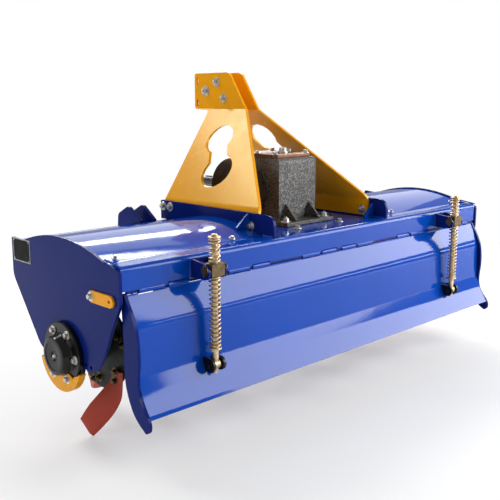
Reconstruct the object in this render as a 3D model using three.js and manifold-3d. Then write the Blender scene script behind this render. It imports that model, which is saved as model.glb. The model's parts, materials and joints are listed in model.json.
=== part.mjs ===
// Tractor-mounted rotary tiller (tractor PTO drive, three-point hitch), in millimetres.
// +X is the operator's right looking forward, +Y is forward, +Z is up.
// The pieces are laid out from the deck: Z = 0 is its top face and Y = 0 the back of the rear beam.
// The whole machine is then set down so that the origin is under the middle of its box.
import * as THREE from "three";
import { mergeVertices } from "three/addons/utils/BufferGeometryUtils.js";
import Module from "manifold-3d";

const wasm = await Module();
wasm.setup();

// ---------- Driving dimensions ----------
const WIDTH = 1500; // over the outside of the two side plates
const SEAT_GAP = 0.3; // left between pieces that touch
const RUNNING_GAP = 0.6; // round a shaft in its bore
const CURVE_STEPS = 4; // facets in each rounded corner

// Rotor
const ROTOR_Y = 232;
const ROTOR_DROP = 248; // rotor axis below the deck
const BLADE_RADIUS = 220; // to the outer corner of a blade
const STANCE_ANGLE = 10; // the lowest blade corners stand this many degrees either side of vertical
const SHAFT_RADIUS = 35;
const SHAFT_END_GAP = 5; // from the thick of a half shaft to the case and to the side plate
const RING_RADIUS = 115;
const RING_THICKNESS = 8;
const RINGS_PER_SIDE = 3;
const FIRST_RING_X = 200;
const OUTER_RING_INSET = 94; // from the side plate's inner face to the last ring
const BLADES_PER_RING = 6;
const BLADE_WIDTH = 62;
const BLADE_THICKNESS = 8;
const BLADE_THROW = 60; // sideways set of a blade's end

// Hood and frame
const SIDE_PLATE = 8;
const HUMP_REAR_Y = 58;
const HUMP_FRONT_Y = 425;
const HUMP_RADIUS = 520;
const HUMP_CENTER_Z = -483;
const HOOD_SHEET = 4;
const HOOD_SETBACK = 4; // the side plates stand this far proud of the hood sheets
const BEAM_SHEET = 6;
const BEAM_HEIGHT = 57;
const LEDGE_DEPTH = 32; // strip of the rear beam that the hood sheet lies on
const DECK_PLATE = 8;
const FRONT_BEAM_Y = 428;
const FRONT_BEAM_DEPTH = 50;
const FRONT_BEAM_HEIGHT = 90;
const FRONT_BEAM_WALL = 5;
const RAIL_X = 241;
const RAIL_THICKNESS = 10;
const RAIL_HEIGHT = 58;
const RAIL_REAR_Y = 16;
const RAIL_FRONT_Y = 497;

// Mast
const MAST_PLATE = 8;
const MAST_FOOT_Z = 60;
const MAST_HEAD_Z = 328;
const MAST_TOP_Z = 440;
const MAST_HEAD_GAP = 44; // clear width between the two head plates
const TOP_LINK_PIN_RADIUS = 9.5;
const TOP_LINK_PIN = [537, 384];
const MAST_BOLT_RADIUS = 7;
const MAST_BOLTS = { upper: [484, 411], lower: [452, 361] };

// Gearbox and drive
const GEARBOX_HALF_WIDTH = 80;
const GEARBOX_REAR_Y = 162;
const GEARBOX_FRONT_Y = 362;
const GEARBOX_TOP_Z = 190;
const GEARBOX_FOOT = { halfWidth: 102, rear: 108, front: 416, thickness: 12 };
const GEARBOX_RIB_X = 50;
const INPUT_Z = 93;
const INPUT_BOSS_RADIUS = 50;
const INPUT_BOSS_END_Y = 397.7;
const INPUT_SHAFT_RADIUS = 17.5;
const INPUT_SHAFT_END_Y = 575;
const INPUT_SHAFT_SEAT = 28;
const GUARD_RIM_RADIUS = 80;
const GUARD_RIM_Y = 455;
const GUARD_WALL = 4;
const CASE_HALF_WIDTH = 45;
const CASE_RADIUS = 92;
const CASE_SHAFT_RADIUS = 25;
const CASE_SHAFT_SEAT = 28;

// Hub bearings
const HUB_SHAFT_RADIUS = 20;
const HUB_FLANGE_RADIUS = 80;
const HUB_FLANGE_THICKNESS = 14;
const HUB_CAP_RADIUS = 47;
const HUB_DEPTH = 36.7;
const HUB_GUARD_REACH = 12; // beyond the rim of the hub flange
const HUB_GUARD_THICKNESS = 4;

// Hinged rear flap and its two spring rods
const HINGE_Y = 5.5;
const HINGE_Z = -61;
const HINGE_ROD_RADIUS = 4;
const KNUCKLE_RADIUS = 7;
const BEAM_KNUCKLE_LENGTH = 70;
const FLAP_KNUCKLE_LENGTH = 60;
const KNUCKLE_GAP = 12; // bare hinge rod between two knuckles
const FLAP_NOTCH_GAP = 2; // from a flap knuckle's end to the side of its notch in the rear beam
const OUTER_KNUCKLE_INSET = 82; // from the side plate's inner face to the first knuckle's middle
const KNUCKLE_PITCH = 270;
const FLAP_SHEET = 3;
const FLAP_END_STRIP = 8;
const FLAP_SIDE_GAP = 7; // between an end strip and the side plate
const ROD_X = 520;
const ROD_Y = -54;
const ROD_RADIUS = 8;
const ROD_TOP_Z = 53;
const ROD_EYE_Z = -260;
const ROD_EYE_RADIUS = 11;
const ROD_PIN_RADIUS = 6;
const OPEN_EYE_DRIFT = 4.5; // room round the rod's pin in the flap ears' holes
const SWIVEL_Z = -30;
const SWIVEL_HEIGHT = 30;
const SWIVEL_PIN_RADIUS = 8;
const SPRING_RADIUS = 14.5;
const SPRING_BORE_GAP = 1; // between a spring and its rod
const SPRING_WASHER_Z = -218;
const BRACKET_GAP = 44;
const BRACKET_EAR = 7;

// Three-point hitch and parking stand
const HITCH_X = 341; // middle of each lower hitch clevis
const HITCH_GAP = 40;
const HITCH_EAR = 10;
const HITCH_PIN = [530, -62];
const HITCH_PIN_RADIUS = 11;
const STAND_X = 440;
const STAND_TUBE = 40;
const STAND_SOCKET_WALL = 4.5;
const STAND_SOCKET_HEIGHT = 76;
const STAND_FOOT = { width: 120, depth: 88, thickness: 8 };
const STAND_TOP_Z = 20;

// ---------- Values worked out from the driving dimensions ----------
const DECK_Z = ROTOR_DROP + BLADE_RADIUS * Math.cos(THREE.MathUtils.degToRad(STANCE_ANGLE));
const SIDE_OUTER_X = WIDTH / 2;
const SIDE_INNER_X = SIDE_OUTER_X - SIDE_PLATE;
const SHEET_END_X = SIDE_INNER_X - SEAT_GAP;
const RAIL_OUTER_X = RAIL_X + RAIL_THICKNESS;
const HOOD_INNER_X = RAIL_OUTER_X + SEAT_GAP;
const HUMP_Y = (HUMP_REAR_Y + HUMP_FRONT_Y) / 2;
const FRONT_BEAM_FACE_Y = FRONT_BEAM_Y + FRONT_BEAM_DEPTH;
const FLAP_STRIP_OUTER_X = SIDE_INNER_X - FLAP_SIDE_GAP;
const FLAP_STRIP_INNER_X = FLAP_STRIP_OUTER_X - FLAP_END_STRIP;
const FLAP_HALF_WIDTH = FLAP_STRIP_INNER_X - SEAT_GAP;

const HUB_GUARD_RADIUS = HUB_FLANGE_RADIUS + HUB_GUARD_REACH;
const RING_PITCH = (SIDE_INNER_X - OUTER_RING_INSET - FIRST_RING_X) / (RINGS_PER_SIDE - 1);

// Each beam knuckle has a flap knuckle next to it, on the side towards the middle. The pairs are
// set out from the ends, as many as there is room for.
const bothSides = ([from, to]) => [[from, to], [-to, -from]];
const beamKnuckleSpans = [];
const flapKnuckleSpans = [];
for (let x = SIDE_INNER_X - OUTER_KNUCKLE_INSET; ; x -= KNUCKLE_PITCH) {
  const flapEndX = x - BEAM_KNUCKLE_LENGTH / 2 - KNUCKLE_GAP;
  if (flapEndX < FLAP_KNUCKLE_LENGTH + KNUCKLE_GAP / 2) break;
  beamKnuckleSpans.push(...bothSides([x - BEAM_KNUCKLE_LENGTH / 2, x + BEAM_KNUCKLE_LENGTH / 2]));
  flapKnuckleSpans.push(...bothSides([flapEndX - FLAP_KNUCKLE_LENGTH, flapEndX]));
}

// ---------- Paints and finishes ----------
const finish = (color, roughness, metalness) =>
  new THREE.MeshStandardMaterial({ color, roughness, metalness });
const BLUE = finish("#1140a8", 0.3, 0.1);
const YELLOW = finish("#e8920c", 0.35, 0.1);
const CAST = finish("#26282b", 0.6, 0.3);
const RED = finish("#a8382c", 0.5, 0.1);
const BLACK = finish("#141618", 0.5, 0.1);
const ZINC = finish("#b9bcc0", 0.35, 0.9);
const GOLD_ZINC = finish("#b98d3a", 0.35, 0.9);

// ---------- Making and joining solids ----------
function signedVolume(geometry) {
  const corners = [0, 1, 2].map(() => new THREE.Vector3());
  const { position } = geometry.attributes;
  let volume = 0;
  for (let i = 0; i < geometry.index.count; i += 3) {
    corners.forEach((corner, k) => corner.fromBufferAttribute(position, geometry.index.getX(i + k)));
    volume += corners[0].dot(corners[1].clone().cross(corners[2])) / 6;
  }
  return volume;
}

// One closed skin with shared corners and its faces pointing out.
function closed(geometry) {
  geometry.deleteAttribute("normal");
  geometry.deleteAttribute("uv");
  const merged = mergeVertices(geometry, 1e-3);
  const index = [];
  for (let i = 0; i < merged.index.count; i += 3) {
    const [a, b, c] = [0, 1, 2].map((k) => merged.index.getX(i + k));
    if (a !== b && b !== c && c !== a) index.push(a, b, c);
  }
  merged.setIndex(index);
  if (signedVolume(merged) < 0) merged.setIndex(index.reverse());
  return merged;
}

function toManifold(geometry) {
  const skin = closed(geometry.clone());
  const vertProperties = Float32Array.from(skin.attributes.position.array);
  const triVerts = Uint32Array.from(skin.index.array);
  return new wasm.Manifold(new wasm.Mesh({ numProp: 3, vertProperties, triVerts }));
}

function fromManifold(manifold) {
  const { vertProperties, triVerts } = manifold.getMesh();
  const geometry = new THREE.BufferGeometry();
  geometry.setAttribute("position", new THREE.BufferAttribute(vertProperties, 3));
  geometry.setIndex(new THREE.BufferAttribute(triVerts, 1));
  return geometry;
}

const combine = (pieces, how) =>
  fromManifold(pieces.map(toManifold).reduce((sum, piece) => sum[how](piece)));
const join = (...pieces) => combine(pieces, "add");
const cut = (...pieces) => combine(pieces, "subtract");
const common = (...pieces) => combine(pieces, "intersect");

// Points of an arc in degrees, for use in an outline.
const arc = (a, b, radius, start, end, steps) =>
  Array.from({ length: steps + 1 }, (_, i) => {
    const angle = THREE.MathUtils.degToRad(start + ((end - start) * i) / steps);
    return [a + radius * Math.cos(angle), b + radius * Math.sin(angle)];
  });

// A closed outline through points [a, b] or [a, b, cut-back of a rounded corner].
function outline(points) {
  const shape = new THREE.Shape();
  points.forEach(([a, b, round = 0], i) => {
    const corner = new THREE.Vector2(a, b);
    const toward = (other) =>
      new THREE.Vector2(other[0], other[1]).sub(corner).setLength(round).add(corner);
    const start = round ? toward(points.at(i - 1)) : corner;
    if (i === 0) shape.moveTo(start.x, start.y);
    else shape.lineTo(start.x, start.y);
    if (!round) return;
    const end = toward(points[(i + 1) % points.length]);
    shape.quadraticCurveTo(corner.x, corner.y, end.x, end.y);
  });
  return shape;
}

// The outline of a bent sheet: one face follows the points, the other lies to their left.
function sheet(points, thickness) {
  const at = points.map(([a, b]) => new THREE.Vector2(a, b));
  const leftOf = (from, to) => {
    const along = to.clone().sub(from).normalize();
    return new THREE.Vector2(-along.y, along.x);
  };
  const offset = at.map((point, i) => {
    const before = i > 0 ? leftOf(at[i - 1], point) : leftOf(point, at[i + 1]);
    const after = i < at.length - 1 ? leftOf(point, at[i + 1]) : before;
    const middle = before.clone().add(after).normalize();
    return point.clone().addScaledVector(middle, thickness / middle.dot(before));
  });
  return [...at, ...offset.reverse()].map(({ x, y }) => [x, y]);
}

const axes = (x, y, z) =>
  new THREE.Matrix4().makeBasis(...[x, y, z].map((axis) => new THREE.Vector3(...axis)));
const SIDE_VIEW = axes([0, 1, 0], [0, 0, 1], [1, 0, 0]);
const FRONT_VIEW = axes([1, 0, 0], [0, 0, 1], [0, -1, 0]);

function extrude(points, depth) {
  const shape = outline(points);
  return new THREE.ExtrudeGeometry(shape, { depth, bevelEnabled: false, curveSegments: CURVE_STEPS });
}

// Prisms of an outline in (Y, Z), (X, Z) and (X, Y).
const alongX = (points, from, to) =>
  extrude(points, to - from).applyMatrix4(SIDE_VIEW).translate(from, 0, 0);
const alongY = (points, from, to) =>
  extrude(points, to - from).applyMatrix4(FRONT_VIEW).translate(0, to, 0);
const alongZ = (points, from, to) => extrude(points, to - from).translate(0, 0, from);

const box = ([x0, x1], [y0, y1], [z0, z1]) =>
  new THREE.BoxGeometry(x1 - x0, y1 - y0, z1 - z0)
    .translate((x0 + x1) / 2, (y0 + y1) / 2, (z0 + z1) / 2);

const round = (radius, length, sides) => new THREE.CylinderGeometry(radius, radius, length, sides);
const rodX = (y, z, radius, from, to, sides = 12) =>
  round(radius, to - from, sides).rotateZ(-Math.PI / 2).translate((from + to) / 2, y, z);
const rodY = (x, z, radius, from, to, sides = 24) =>
  round(radius, to - from, sides).translate(x, (from + to) / 2, z);
const rodZ = (x, y, radius, from, to, sides = 12) =>
  round(radius, to - from, sides).rotateX(Math.PI / 2).translate(x, y, (from + to) / 2);

const turned = (profile, sides = 24) =>
  new THREE.LatheGeometry(profile.map(([radius, at]) => new THREE.Vector2(radius, at)), sides);
const turnedX = (y, z, profile, sides) => turned(profile, sides).rotateZ(-Math.PI / 2).translate(0, y, z);
const turnedY = (x, z, profile, sides) => turned(profile, sides).translate(x, 0, z);

// ---------- The machine: every piece is added here by name ----------
const machine = new THREE.Group();

function add(name, geometry, material) {
  const mesh = new THREE.Mesh(closed(geometry), material);
  mesh.name = name;
  machine.add(mesh);
}

// The same piece on both sides: made for the right, then mirrored for the left.
function addPair(name, geometry, material) {
  add(`${name}_right`, geometry, material);
  add(`${name}_left`, geometry.clone().scale(-1, 1, 1), material);
}

// ---------- Hood: side plates, beams, hump sheets and deck ----------
const humpZ = (y, inset) => HUMP_CENTER_Z + Math.sqrt((HUMP_RADIUS - inset) ** 2 - (y - HUMP_Y) ** 2);

function humpLine(fromY, toY, inset, steps) {
  return Array.from({ length: steps + 1 }, (_, i) => {
    const y = fromY + ((toY - fromY) * i) / steps;
    return [y, humpZ(y, inset)];
  });
}

function sidePlate() {
  const lobe = arc(ROTOR_Y, -ROTOR_DROP, HUB_FLANGE_RADIUS - 2, 345, 195, 14);
  const edge = [
    [-4, -86, 14],
    [-4, -8, 8],
    ...humpLine(HUMP_REAR_Y, HUMP_FRONT_Y, 0, 14),
    [FRONT_BEAM_FACE_Y + 2, 8, 5],
    [FRONT_BEAM_FACE_Y + 4, -FRONT_BEAM_HEIGHT - 3, 16],
    [351, -264, 26],
    ...lobe,
    [100, -267, 22],
    [65, -221, 20],
    [29, -144, 20],
  ];
  const shaftHole = rodX(ROTOR_Y, -ROTOR_DROP, HUB_SHAFT_RADIUS + 5, 0, WIDTH, 24);
  return cut(alongX(edge, SIDE_INNER_X, SIDE_OUTER_X), shaftHole);
}

function rearBeam() {
  const joggleY = HUMP_REAR_Y - 2;
  const ledge = [HUMP_REAR_Y, HUMP_REAR_Y + LEDGE_DEPTH].map((y) => [
    y,
    humpZ(y, HOOD_SETBACK + HOOD_SHEET) - SEAT_GAP,
  ]);
  const bend = arc(12, -12, 12, 180, 90, 5);
  const face = [[0, -BEAM_HEIGHT], ...bend, [joggleY, 0], ...ledge];
  const beam = alongX(sheet(face.reverse(), BEAM_SHEET), -SHEET_END_X, SHEET_END_X);
  const deckNotch = box([-HOOD_INNER_X, HOOD_INNER_X], [joggleY, 200], [-60, 60]);
  const knuckles = beamKnuckleSpans.map((span) => rodX(HINGE_Y, HINGE_Z, KNUCKLE_RADIUS, ...span));
  const flapNotches = flapKnuckleSpans.map(([from, to]) =>
    box(
      [from - FLAP_NOTCH_GAP, to + FLAP_NOTCH_GAP],
      [-1, BEAM_SHEET + 1],
      [-2 * BEAM_HEIGHT, HINGE_Z + KNUCKLE_RADIUS + 1],
    ));
  const bore = rodX(HINGE_Y, HINGE_Z, HINGE_ROD_RADIUS + RUNNING_GAP, -WIDTH, WIDTH);
  return cut(join(cut(beam, deckNotch, ...flapNotches), ...knuckles), bore);
}

function frontBeam() {
  const wall = FRONT_BEAM_WALL;
  const outside = [
    [FRONT_BEAM_Y, -FRONT_BEAM_HEIGHT, 6],
    [FRONT_BEAM_FACE_Y, -FRONT_BEAM_HEIGHT, 6],
    [FRONT_BEAM_FACE_Y, 0, 6],
    [FRONT_BEAM_Y, 0, 6],
  ];
  const inside = box(
    [-WIDTH, WIDTH],
    [FRONT_BEAM_Y + wall, FRONT_BEAM_FACE_Y - wall],
    [-FRONT_BEAM_HEIGHT + wall, -wall],
  );
  return cut(alongX(outside, -SHEET_END_X, SHEET_END_X), inside);
}

function hoodSheet() {
  const top = humpLine(HUMP_REAR_Y + 1, FRONT_BEAM_Y - SEAT_GAP, HOOD_SETBACK, 14);
  return alongX(sheet(top.reverse(), HOOD_SHEET), HOOD_INNER_X, SHEET_END_X);
}

const deckPlate = () =>
  box(
    [-RAIL_OUTER_X, RAIL_OUTER_X],
    [HUMP_REAR_Y - 2 + SEAT_GAP, FRONT_BEAM_Y - SEAT_GAP],
    [-DECK_PLATE, 0],
  );

addPair("side_plate", sidePlate(), BLUE);
add("rear_beam", rearBeam(), BLUE);
add("front_beam", frontBeam(), BLUE);
addPair("hood_sheet", hoodSheet(), BLUE);
add("deck_plate", deckPlate(), BLUE);

// ---------- Hitch rails and mast ----------
const rail = () =>
  alongX(
    [
      [RAIL_REAR_Y, SEAT_GAP],
      [RAIL_REAR_Y, RAIL_HEIGHT, 34],
      [RAIL_FRONT_Y, RAIL_HEIGHT, 6],
      [RAIL_FRONT_Y, SEAT_GAP],
    ],
    RAIL_X,
    RAIL_OUTER_X,
  );

const MAST_FOOT_X = RAIL_X - SEAT_GAP;
const MAST_HEAD_X = MAST_HEAD_GAP / 2 + MAST_PLATE;
const MAST_FOOT_REAR_Y = 80;
const MAST_FOOT_FRONT_Y = 487;

// The window through the sloping web: a large and a small round joined by a straight neck.
function mastWindow() {
  const slope = Math.hypot(MAST_FOOT_X - MAST_HEAD_X, MAST_HEAD_Z - MAST_FOOT_Z);
  const onWeb = ([y, up]) => [y, MAST_FOOT_Z + (up * (MAST_HEAD_Z - MAST_FOOT_Z)) / slope];
  const lower = [331, 114];
  const upper = [395, 228];
  const neck = 34;
  const direction = new THREE.Vector2(upper[0] - lower[0], upper[1] - lower[1]).normalize();
  const across = [-direction.y * neck, direction.x * neck];
  const neckOutline = [
    [lower[0] + across[0], lower[1] + across[1]],
    [upper[0] + across[0], upper[1] + across[1]],
    [upper[0] - across[0], upper[1] - across[1]],
    [lower[0] - across[0], lower[1] - across[1]],
  ];
  const rounds = [arc(...lower, 57, 0, 340, 17), arc(...upper, 52, 0, 340, 17), neckOutline];
  return join(...rounds.map((points) => alongX(points.map(onWeb), MAST_HEAD_X, MAST_FOOT_X)));
}

function mastPlate() {
  const section = sheet(
    [
      [MAST_FOOT_X, 4],
      [MAST_FOOT_X, MAST_FOOT_Z],
      [MAST_HEAD_X, MAST_HEAD_Z],
      [MAST_HEAD_X, MAST_TOP_Z],
    ],
    MAST_PLATE,
  );
  const side = [
    [MAST_FOOT_REAR_Y, 4],
    [MAST_FOOT_FRONT_Y, 4],
    [MAST_FOOT_FRONT_Y, MAST_FOOT_Z, 10],
    [520, MAST_HEAD_Z - 4, 10],
    [591, MAST_HEAD_Z, 9],
    [591, MAST_TOP_Z, 9],
    [428, MAST_TOP_Z, 12],
    [353, MAST_HEAD_Z, 12],
    [MAST_FOOT_REAR_Y, MAST_FOOT_Z, 20],
  ];
  const plate = common(alongY(section, 0, 700), alongX(side, 0, MAST_FOOT_X));
  const pinHole = rodX(...TOP_LINK_PIN, TOP_LINK_PIN_RADIUS + RUNNING_GAP, 0, 60);
  const boltHoles = Object.values(MAST_BOLTS).map((at) =>
    rodX(...at, MAST_BOLT_RADIUS + RUNNING_GAP, 0, 60));
  return cut(plate, mastWindow(), pinHole, ...boltHoles);
}

// A pin or bolt through the head plates, with a head at each end.
function headBolt([y, z], radius) {
  const reach = MAST_HEAD_X + 1;
  const headLength = 9;
  const head = (from) => rodX(y, z, radius * 1.7, from, from + headLength, 6);
  return join(rodX(y, z, radius, -reach, reach), head(reach - 0.5), head(-reach - headLength + 0.5));
}

addPair("hitch_rail", rail(), BLUE);
addPair("mast_plate", mastPlate(), YELLOW);
add("top_link_pin", headBolt(TOP_LINK_PIN, TOP_LINK_PIN_RADIUS), ZINC);
Object.entries(MAST_BOLTS).forEach(([place, at]) =>
  add(`mast_bolt_${place}`, headBolt(at, MAST_BOLT_RADIUS), ZINC));

// ---------- Gearbox, input shaft with its guard, and the centre drive case ----------
function gearbox() {
  const { halfWidth, rear, front, thickness } = GEARBOX_FOOT;
  const foot = box([-halfWidth, halfWidth], [rear, front], [SEAT_GAP, thickness]);
  const body = alongX(
    [
      [GEARBOX_REAR_Y, thickness - 1],
      [GEARBOX_REAR_Y, GEARBOX_TOP_Z, 16],
      [GEARBOX_FRONT_Y, GEARBOX_TOP_Z, 16],
      [GEARBOX_FRONT_Y, thickness - 1],
    ],
    -GEARBOX_HALF_WIDTH,
    GEARBOX_HALF_WIDTH,
  );
  const capY = (GEARBOX_REAR_Y + GEARBOX_FRONT_Y) / 2;
  const caps = rodX(capY, INPUT_Z, 63, -GEARBOX_HALF_WIDTH - 9, GEARBOX_HALF_WIDTH + 9, 32);
  const ribSlope = [
    [rear + 7, thickness - 1],
    [GEARBOX_REAR_Y + 1, thickness - 1],
    [GEARBOX_REAR_Y + 1, 60],
  ];
  const ribs = [-GEARBOX_RIB_X, GEARBOX_RIB_X].map((x) => alongX(ribSlope, x - 4, x + 4));
  const boss = rodY(0, INPUT_Z, INPUT_BOSS_RADIUS, GEARBOX_FRONT_Y - 1, INPUT_BOSS_END_Y, 32);
  const seat = rodY(
    0,
    INPUT_Z,
    INPUT_SHAFT_RADIUS + RUNNING_GAP,
    INPUT_BOSS_END_Y - INPUT_SHAFT_SEAT,
    INPUT_BOSS_END_Y + 1,
  );
  return cut(join(foot, body, caps, ...ribs, boss), seat);
}

function gearboxCover() {
  const bottom = GEARBOX_TOP_Z + SEAT_GAP;
  const edge = (inset) => [
    [-GEARBOX_HALF_WIDTH + inset, GEARBOX_REAR_Y + 16, 14],
    [GEARBOX_HALF_WIDTH - inset, GEARBOX_REAR_Y + 16, 14],
    [GEARBOX_HALF_WIDTH - inset, GEARBOX_FRONT_Y - 16, 14],
    [-GEARBOX_HALF_WIDTH + inset, GEARBOX_FRONT_Y - 16, 14],
  ];
  return alongZ(edge(2), bottom, bottom + 10);
}

function ptoGuard() {
  const back = INPUT_BOSS_END_Y + SEAT_GAP;
  const rearRadius = INPUT_BOSS_RADIUS - 4;
  const profile = [
    [INPUT_SHAFT_RADIUS + 8, back],
    [rearRadius, back],
    [GUARD_RIM_RADIUS, GUARD_RIM_Y],
    [GUARD_RIM_RADIUS - GUARD_WALL, GUARD_RIM_Y],
    [rearRadius - GUARD_WALL, back + GUARD_WALL],
    [INPUT_SHAFT_RADIUS + 8, back + GUARD_WALL],
    [INPUT_SHAFT_RADIUS + 8, back],
  ];
  return turnedY(0, INPUT_Z, profile);
}

const inputShaft = () =>
  rodY(0, INPUT_Z, INPUT_SHAFT_RADIUS, INPUT_BOSS_END_Y - INPUT_SHAFT_SEAT + 1, INPUT_SHAFT_END_Y);

function driveCase() {
  const top = -DECK_PLATE - SEAT_GAP;
  const edge = [
    [GEARBOX_REAR_Y + 8, top],
    ...arc(ROTOR_Y, -ROTOR_DROP, CASE_RADIUS, 168, 372, 17),
    [GEARBOX_FRONT_Y - 30, top],
  ];
  const seat = rodX(ROTOR_Y, -ROTOR_DROP, CASE_SHAFT_RADIUS + RUNNING_GAP, 0, CASE_SHAFT_SEAT, 24);
  const seats = [
    seat.clone().translate(CASE_HALF_WIDTH - CASE_SHAFT_SEAT + 1, 0, 0),
    seat.translate(-CASE_HALF_WIDTH - 1, 0, 0),
  ];
  return cut(alongX(edge, -CASE_HALF_WIDTH, CASE_HALF_WIDTH), ...seats);
}

add("gearbox", gearbox(), CAST);
add("gearbox_cover", gearboxCover(), CAST);
add("pto_guard", ptoGuard(), BLACK);
add("input_shaft", inputShaft(), ZINC);
add("drive_case", driveCase(), CAST);

// ---------- Hub bearings, their guards and the flap latches on the side plates ----------
function bearingHub() {
  const start = SIDE_OUTER_X + SEAT_GAP;
  const end = SIDE_OUTER_X + HUB_DEPTH;
  const bore = HUB_SHAFT_RADIUS + RUNNING_GAP;
  const profile = [
    [bore, start],
    [HUB_FLANGE_RADIUS, start],
    [HUB_FLANGE_RADIUS, start + HUB_FLANGE_THICKNESS],
    [HUB_CAP_RADIUS + 4, start + HUB_FLANGE_THICKNESS],
    [HUB_CAP_RADIUS, end - 14],
    [HUB_CAP_RADIUS - 5, end],
    [0, end],
    [0, end - 12],
    [bore, end - 12],
    [bore, start],
  ];
  return turnedX(ROTOR_Y, -ROTOR_DROP, profile);
}

// A crescent plate under the hub flange, held by its lower bolts, with a rim turned in towards
// the side plate and a hooked rear end.
function hubGuard() {
  const center = [ROTOR_Y, -ROTOR_DROP];
  const face = SIDE_OUTER_X + SEAT_GAP + HUB_FLANGE_THICKNESS + SEAT_GAP;
  const innerRadius = HUB_CAP_RADIUS + 5;
  const crescent = [
    ...arc(...center, HUB_GUARD_RADIUS, 200, 345, 14),
    ...arc(...center, innerRadius, 335, 228, 8),
    ...arc(...center, HUB_GUARD_RADIUS - 18, 220, 214, 1),
  ];
  const rim = sheet(arc(...center, HUB_GUARD_RADIUS, 200, 345, 14), HUB_GUARD_THICKNESS);
  const outer = face + HUB_GUARD_THICKNESS;
  return join(alongX(crescent, face, outer), alongX(rim, SIDE_OUTER_X + SEAT_GAP, outer));
}

const flapLatch = () =>
  alongX(
    [
      ...arc(28, -81, 14, 90, 270, 6),
      ...arc(100, -81, 14, 270, 450, 6),
    ],
    SIDE_OUTER_X + SEAT_GAP,
    SIDE_OUTER_X + SEAT_GAP + 6,
  );

addPair("bearing_hub", bearingHub(), CAST);
addPair("hub_guard", hubGuard(), YELLOW);
addPair("flap_latch", flapLatch(), YELLOW);

// ---------- Lower hitch clevises and their pins ----------
function lowerHitchBracket() {
  const face = FRONT_BEAM_FACE_Y + SEAT_GAP;
  const ear = [
    [440, SEAT_GAP],
    [440, 10],
    [497, 50, 10],
    [550, 22, 10],
    [558, -62, 14],
    [540, -97, 16],
    [498, -97, 14],
    [face, -80],
    [face, SEAT_GAP],
  ];
  const half = HITCH_GAP / 2;
  const ears = [HITCH_X - half - HITCH_EAR, HITCH_X + half].map((x) =>
    alongX(ear, x, x + HITCH_EAR));
  const back = box([HITCH_X - half - 1, HITCH_X + half + 1], [face, face + 8], [-80, SEAT_GAP]);
  const hole = rodX(...HITCH_PIN, HITCH_PIN_RADIUS + RUNNING_GAP, 0, WIDTH, 16);
  return cut(join(...ears, back), hole);
}

function lowerHitchPin() {
  const reach = HITCH_GAP / 2 + HITCH_EAR;
  const [y, z] = HITCH_PIN;
  const pin = rodX(y, z, HITCH_PIN_RADIUS, HITCH_X - reach - 8, HITCH_X + reach + 12, 16);
  const collar = rodX(y, z, HITCH_PIN_RADIUS + 6, HITCH_X + reach + 1, HITCH_X + reach + 8, 16);
  return join(pin, collar);
}

addPair("lower_hitch_bracket", lowerHitchBracket(), BLUE);
addPair("lower_hitch_pin", lowerHitchPin(), ZINC);

// ---------- Parking stand: a square leg that slides in a socket on the front beam ----------
const SOCKET_OUTER = STAND_TUBE + 2 * STAND_SOCKET_WALL + 2 * RUNNING_GAP;
const STAND_Y = FRONT_BEAM_FACE_Y + SEAT_GAP + SOCKET_OUTER / 2;

function square(size, from, to) {
  const half = size / 2;
  return box([STAND_X - half, STAND_X + half], [STAND_Y - half, STAND_Y + half], [from, to]);
}

function standSocket() {
  const top = -5;
  const bottom = top - STAND_SOCKET_HEIGHT;
  return cut(square(SOCKET_OUTER, bottom, top), square(STAND_TUBE + 2 * RUNNING_GAP, bottom - 1, top + 1));
}

function parkingStand() {
  const { width, depth, thickness } = STAND_FOOT;
  const leg = square(STAND_TUBE, -DECK_Z + thickness - 1, STAND_TOP_Z);
  const foot = box(
    [STAND_X - width / 2, STAND_X + width / 2],
    [STAND_Y - depth / 2, STAND_Y + depth / 2],
    [-DECK_Z, -DECK_Z + thickness],
  );
  return join(leg, foot);
}

add("stand_socket", standSocket(), BLUE);
add("parking_stand", parkingStand(), YELLOW);

// ---------- Rear flap on its hinge rod ----------
function flapPanel() {
  const rearFace = [
    [1.5, HINGE_Z - KNUCKLE_RADIUS - 1],
    [-16, -98],
    [-28, -140],
    [-31, -204],
    [-33, -250],
    [-38, -267],
    [-47, -294],
    [-61, -315],
    [-73, -335],
  ];
  const panel = alongX(sheet(rearFace, FLAP_SHEET), -FLAP_HALF_WIDTH, FLAP_HALF_WIDTH);
  const tab = [
    [HINGE_Y - 6, HINGE_Z - 1],
    [HINGE_Y + 2, HINGE_Z - 1],
    [2, HINGE_Z - KNUCKLE_RADIUS - 7],
    [-2, HINGE_Z - KNUCKLE_RADIUS - 5],
  ];
  const knuckles = flapKnuckleSpans.flatMap(([from, to]) =>
    [rodX(HINGE_Y, HINGE_Z, KNUCKLE_RADIUS, from, to), alongX(tab, from, to)]);
  const ear = [
    ...arc(ROD_Y, ROD_EYE_Z, 17, 90, 270, 6),
    [-38, ROD_EYE_Z - 17],
    [-31, ROD_EYE_Z + 17],
  ];
  const ears = [-ROD_X, ROD_X].flatMap((x) =>
    [x - 20, x + 12].map((from) => alongX(ear, from, from + 8)));
  const eyes = rodX(ROD_Y, ROD_EYE_Z, ROD_PIN_RADIUS + OPEN_EYE_DRIFT, -WIDTH, WIDTH);
  const bore = rodX(HINGE_Y, HINGE_Z, HINGE_ROD_RADIUS + RUNNING_GAP, -WIDTH, WIDTH);
  return cut(join(panel, ...knuckles, ...ears), eyes, bore);
}

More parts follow.
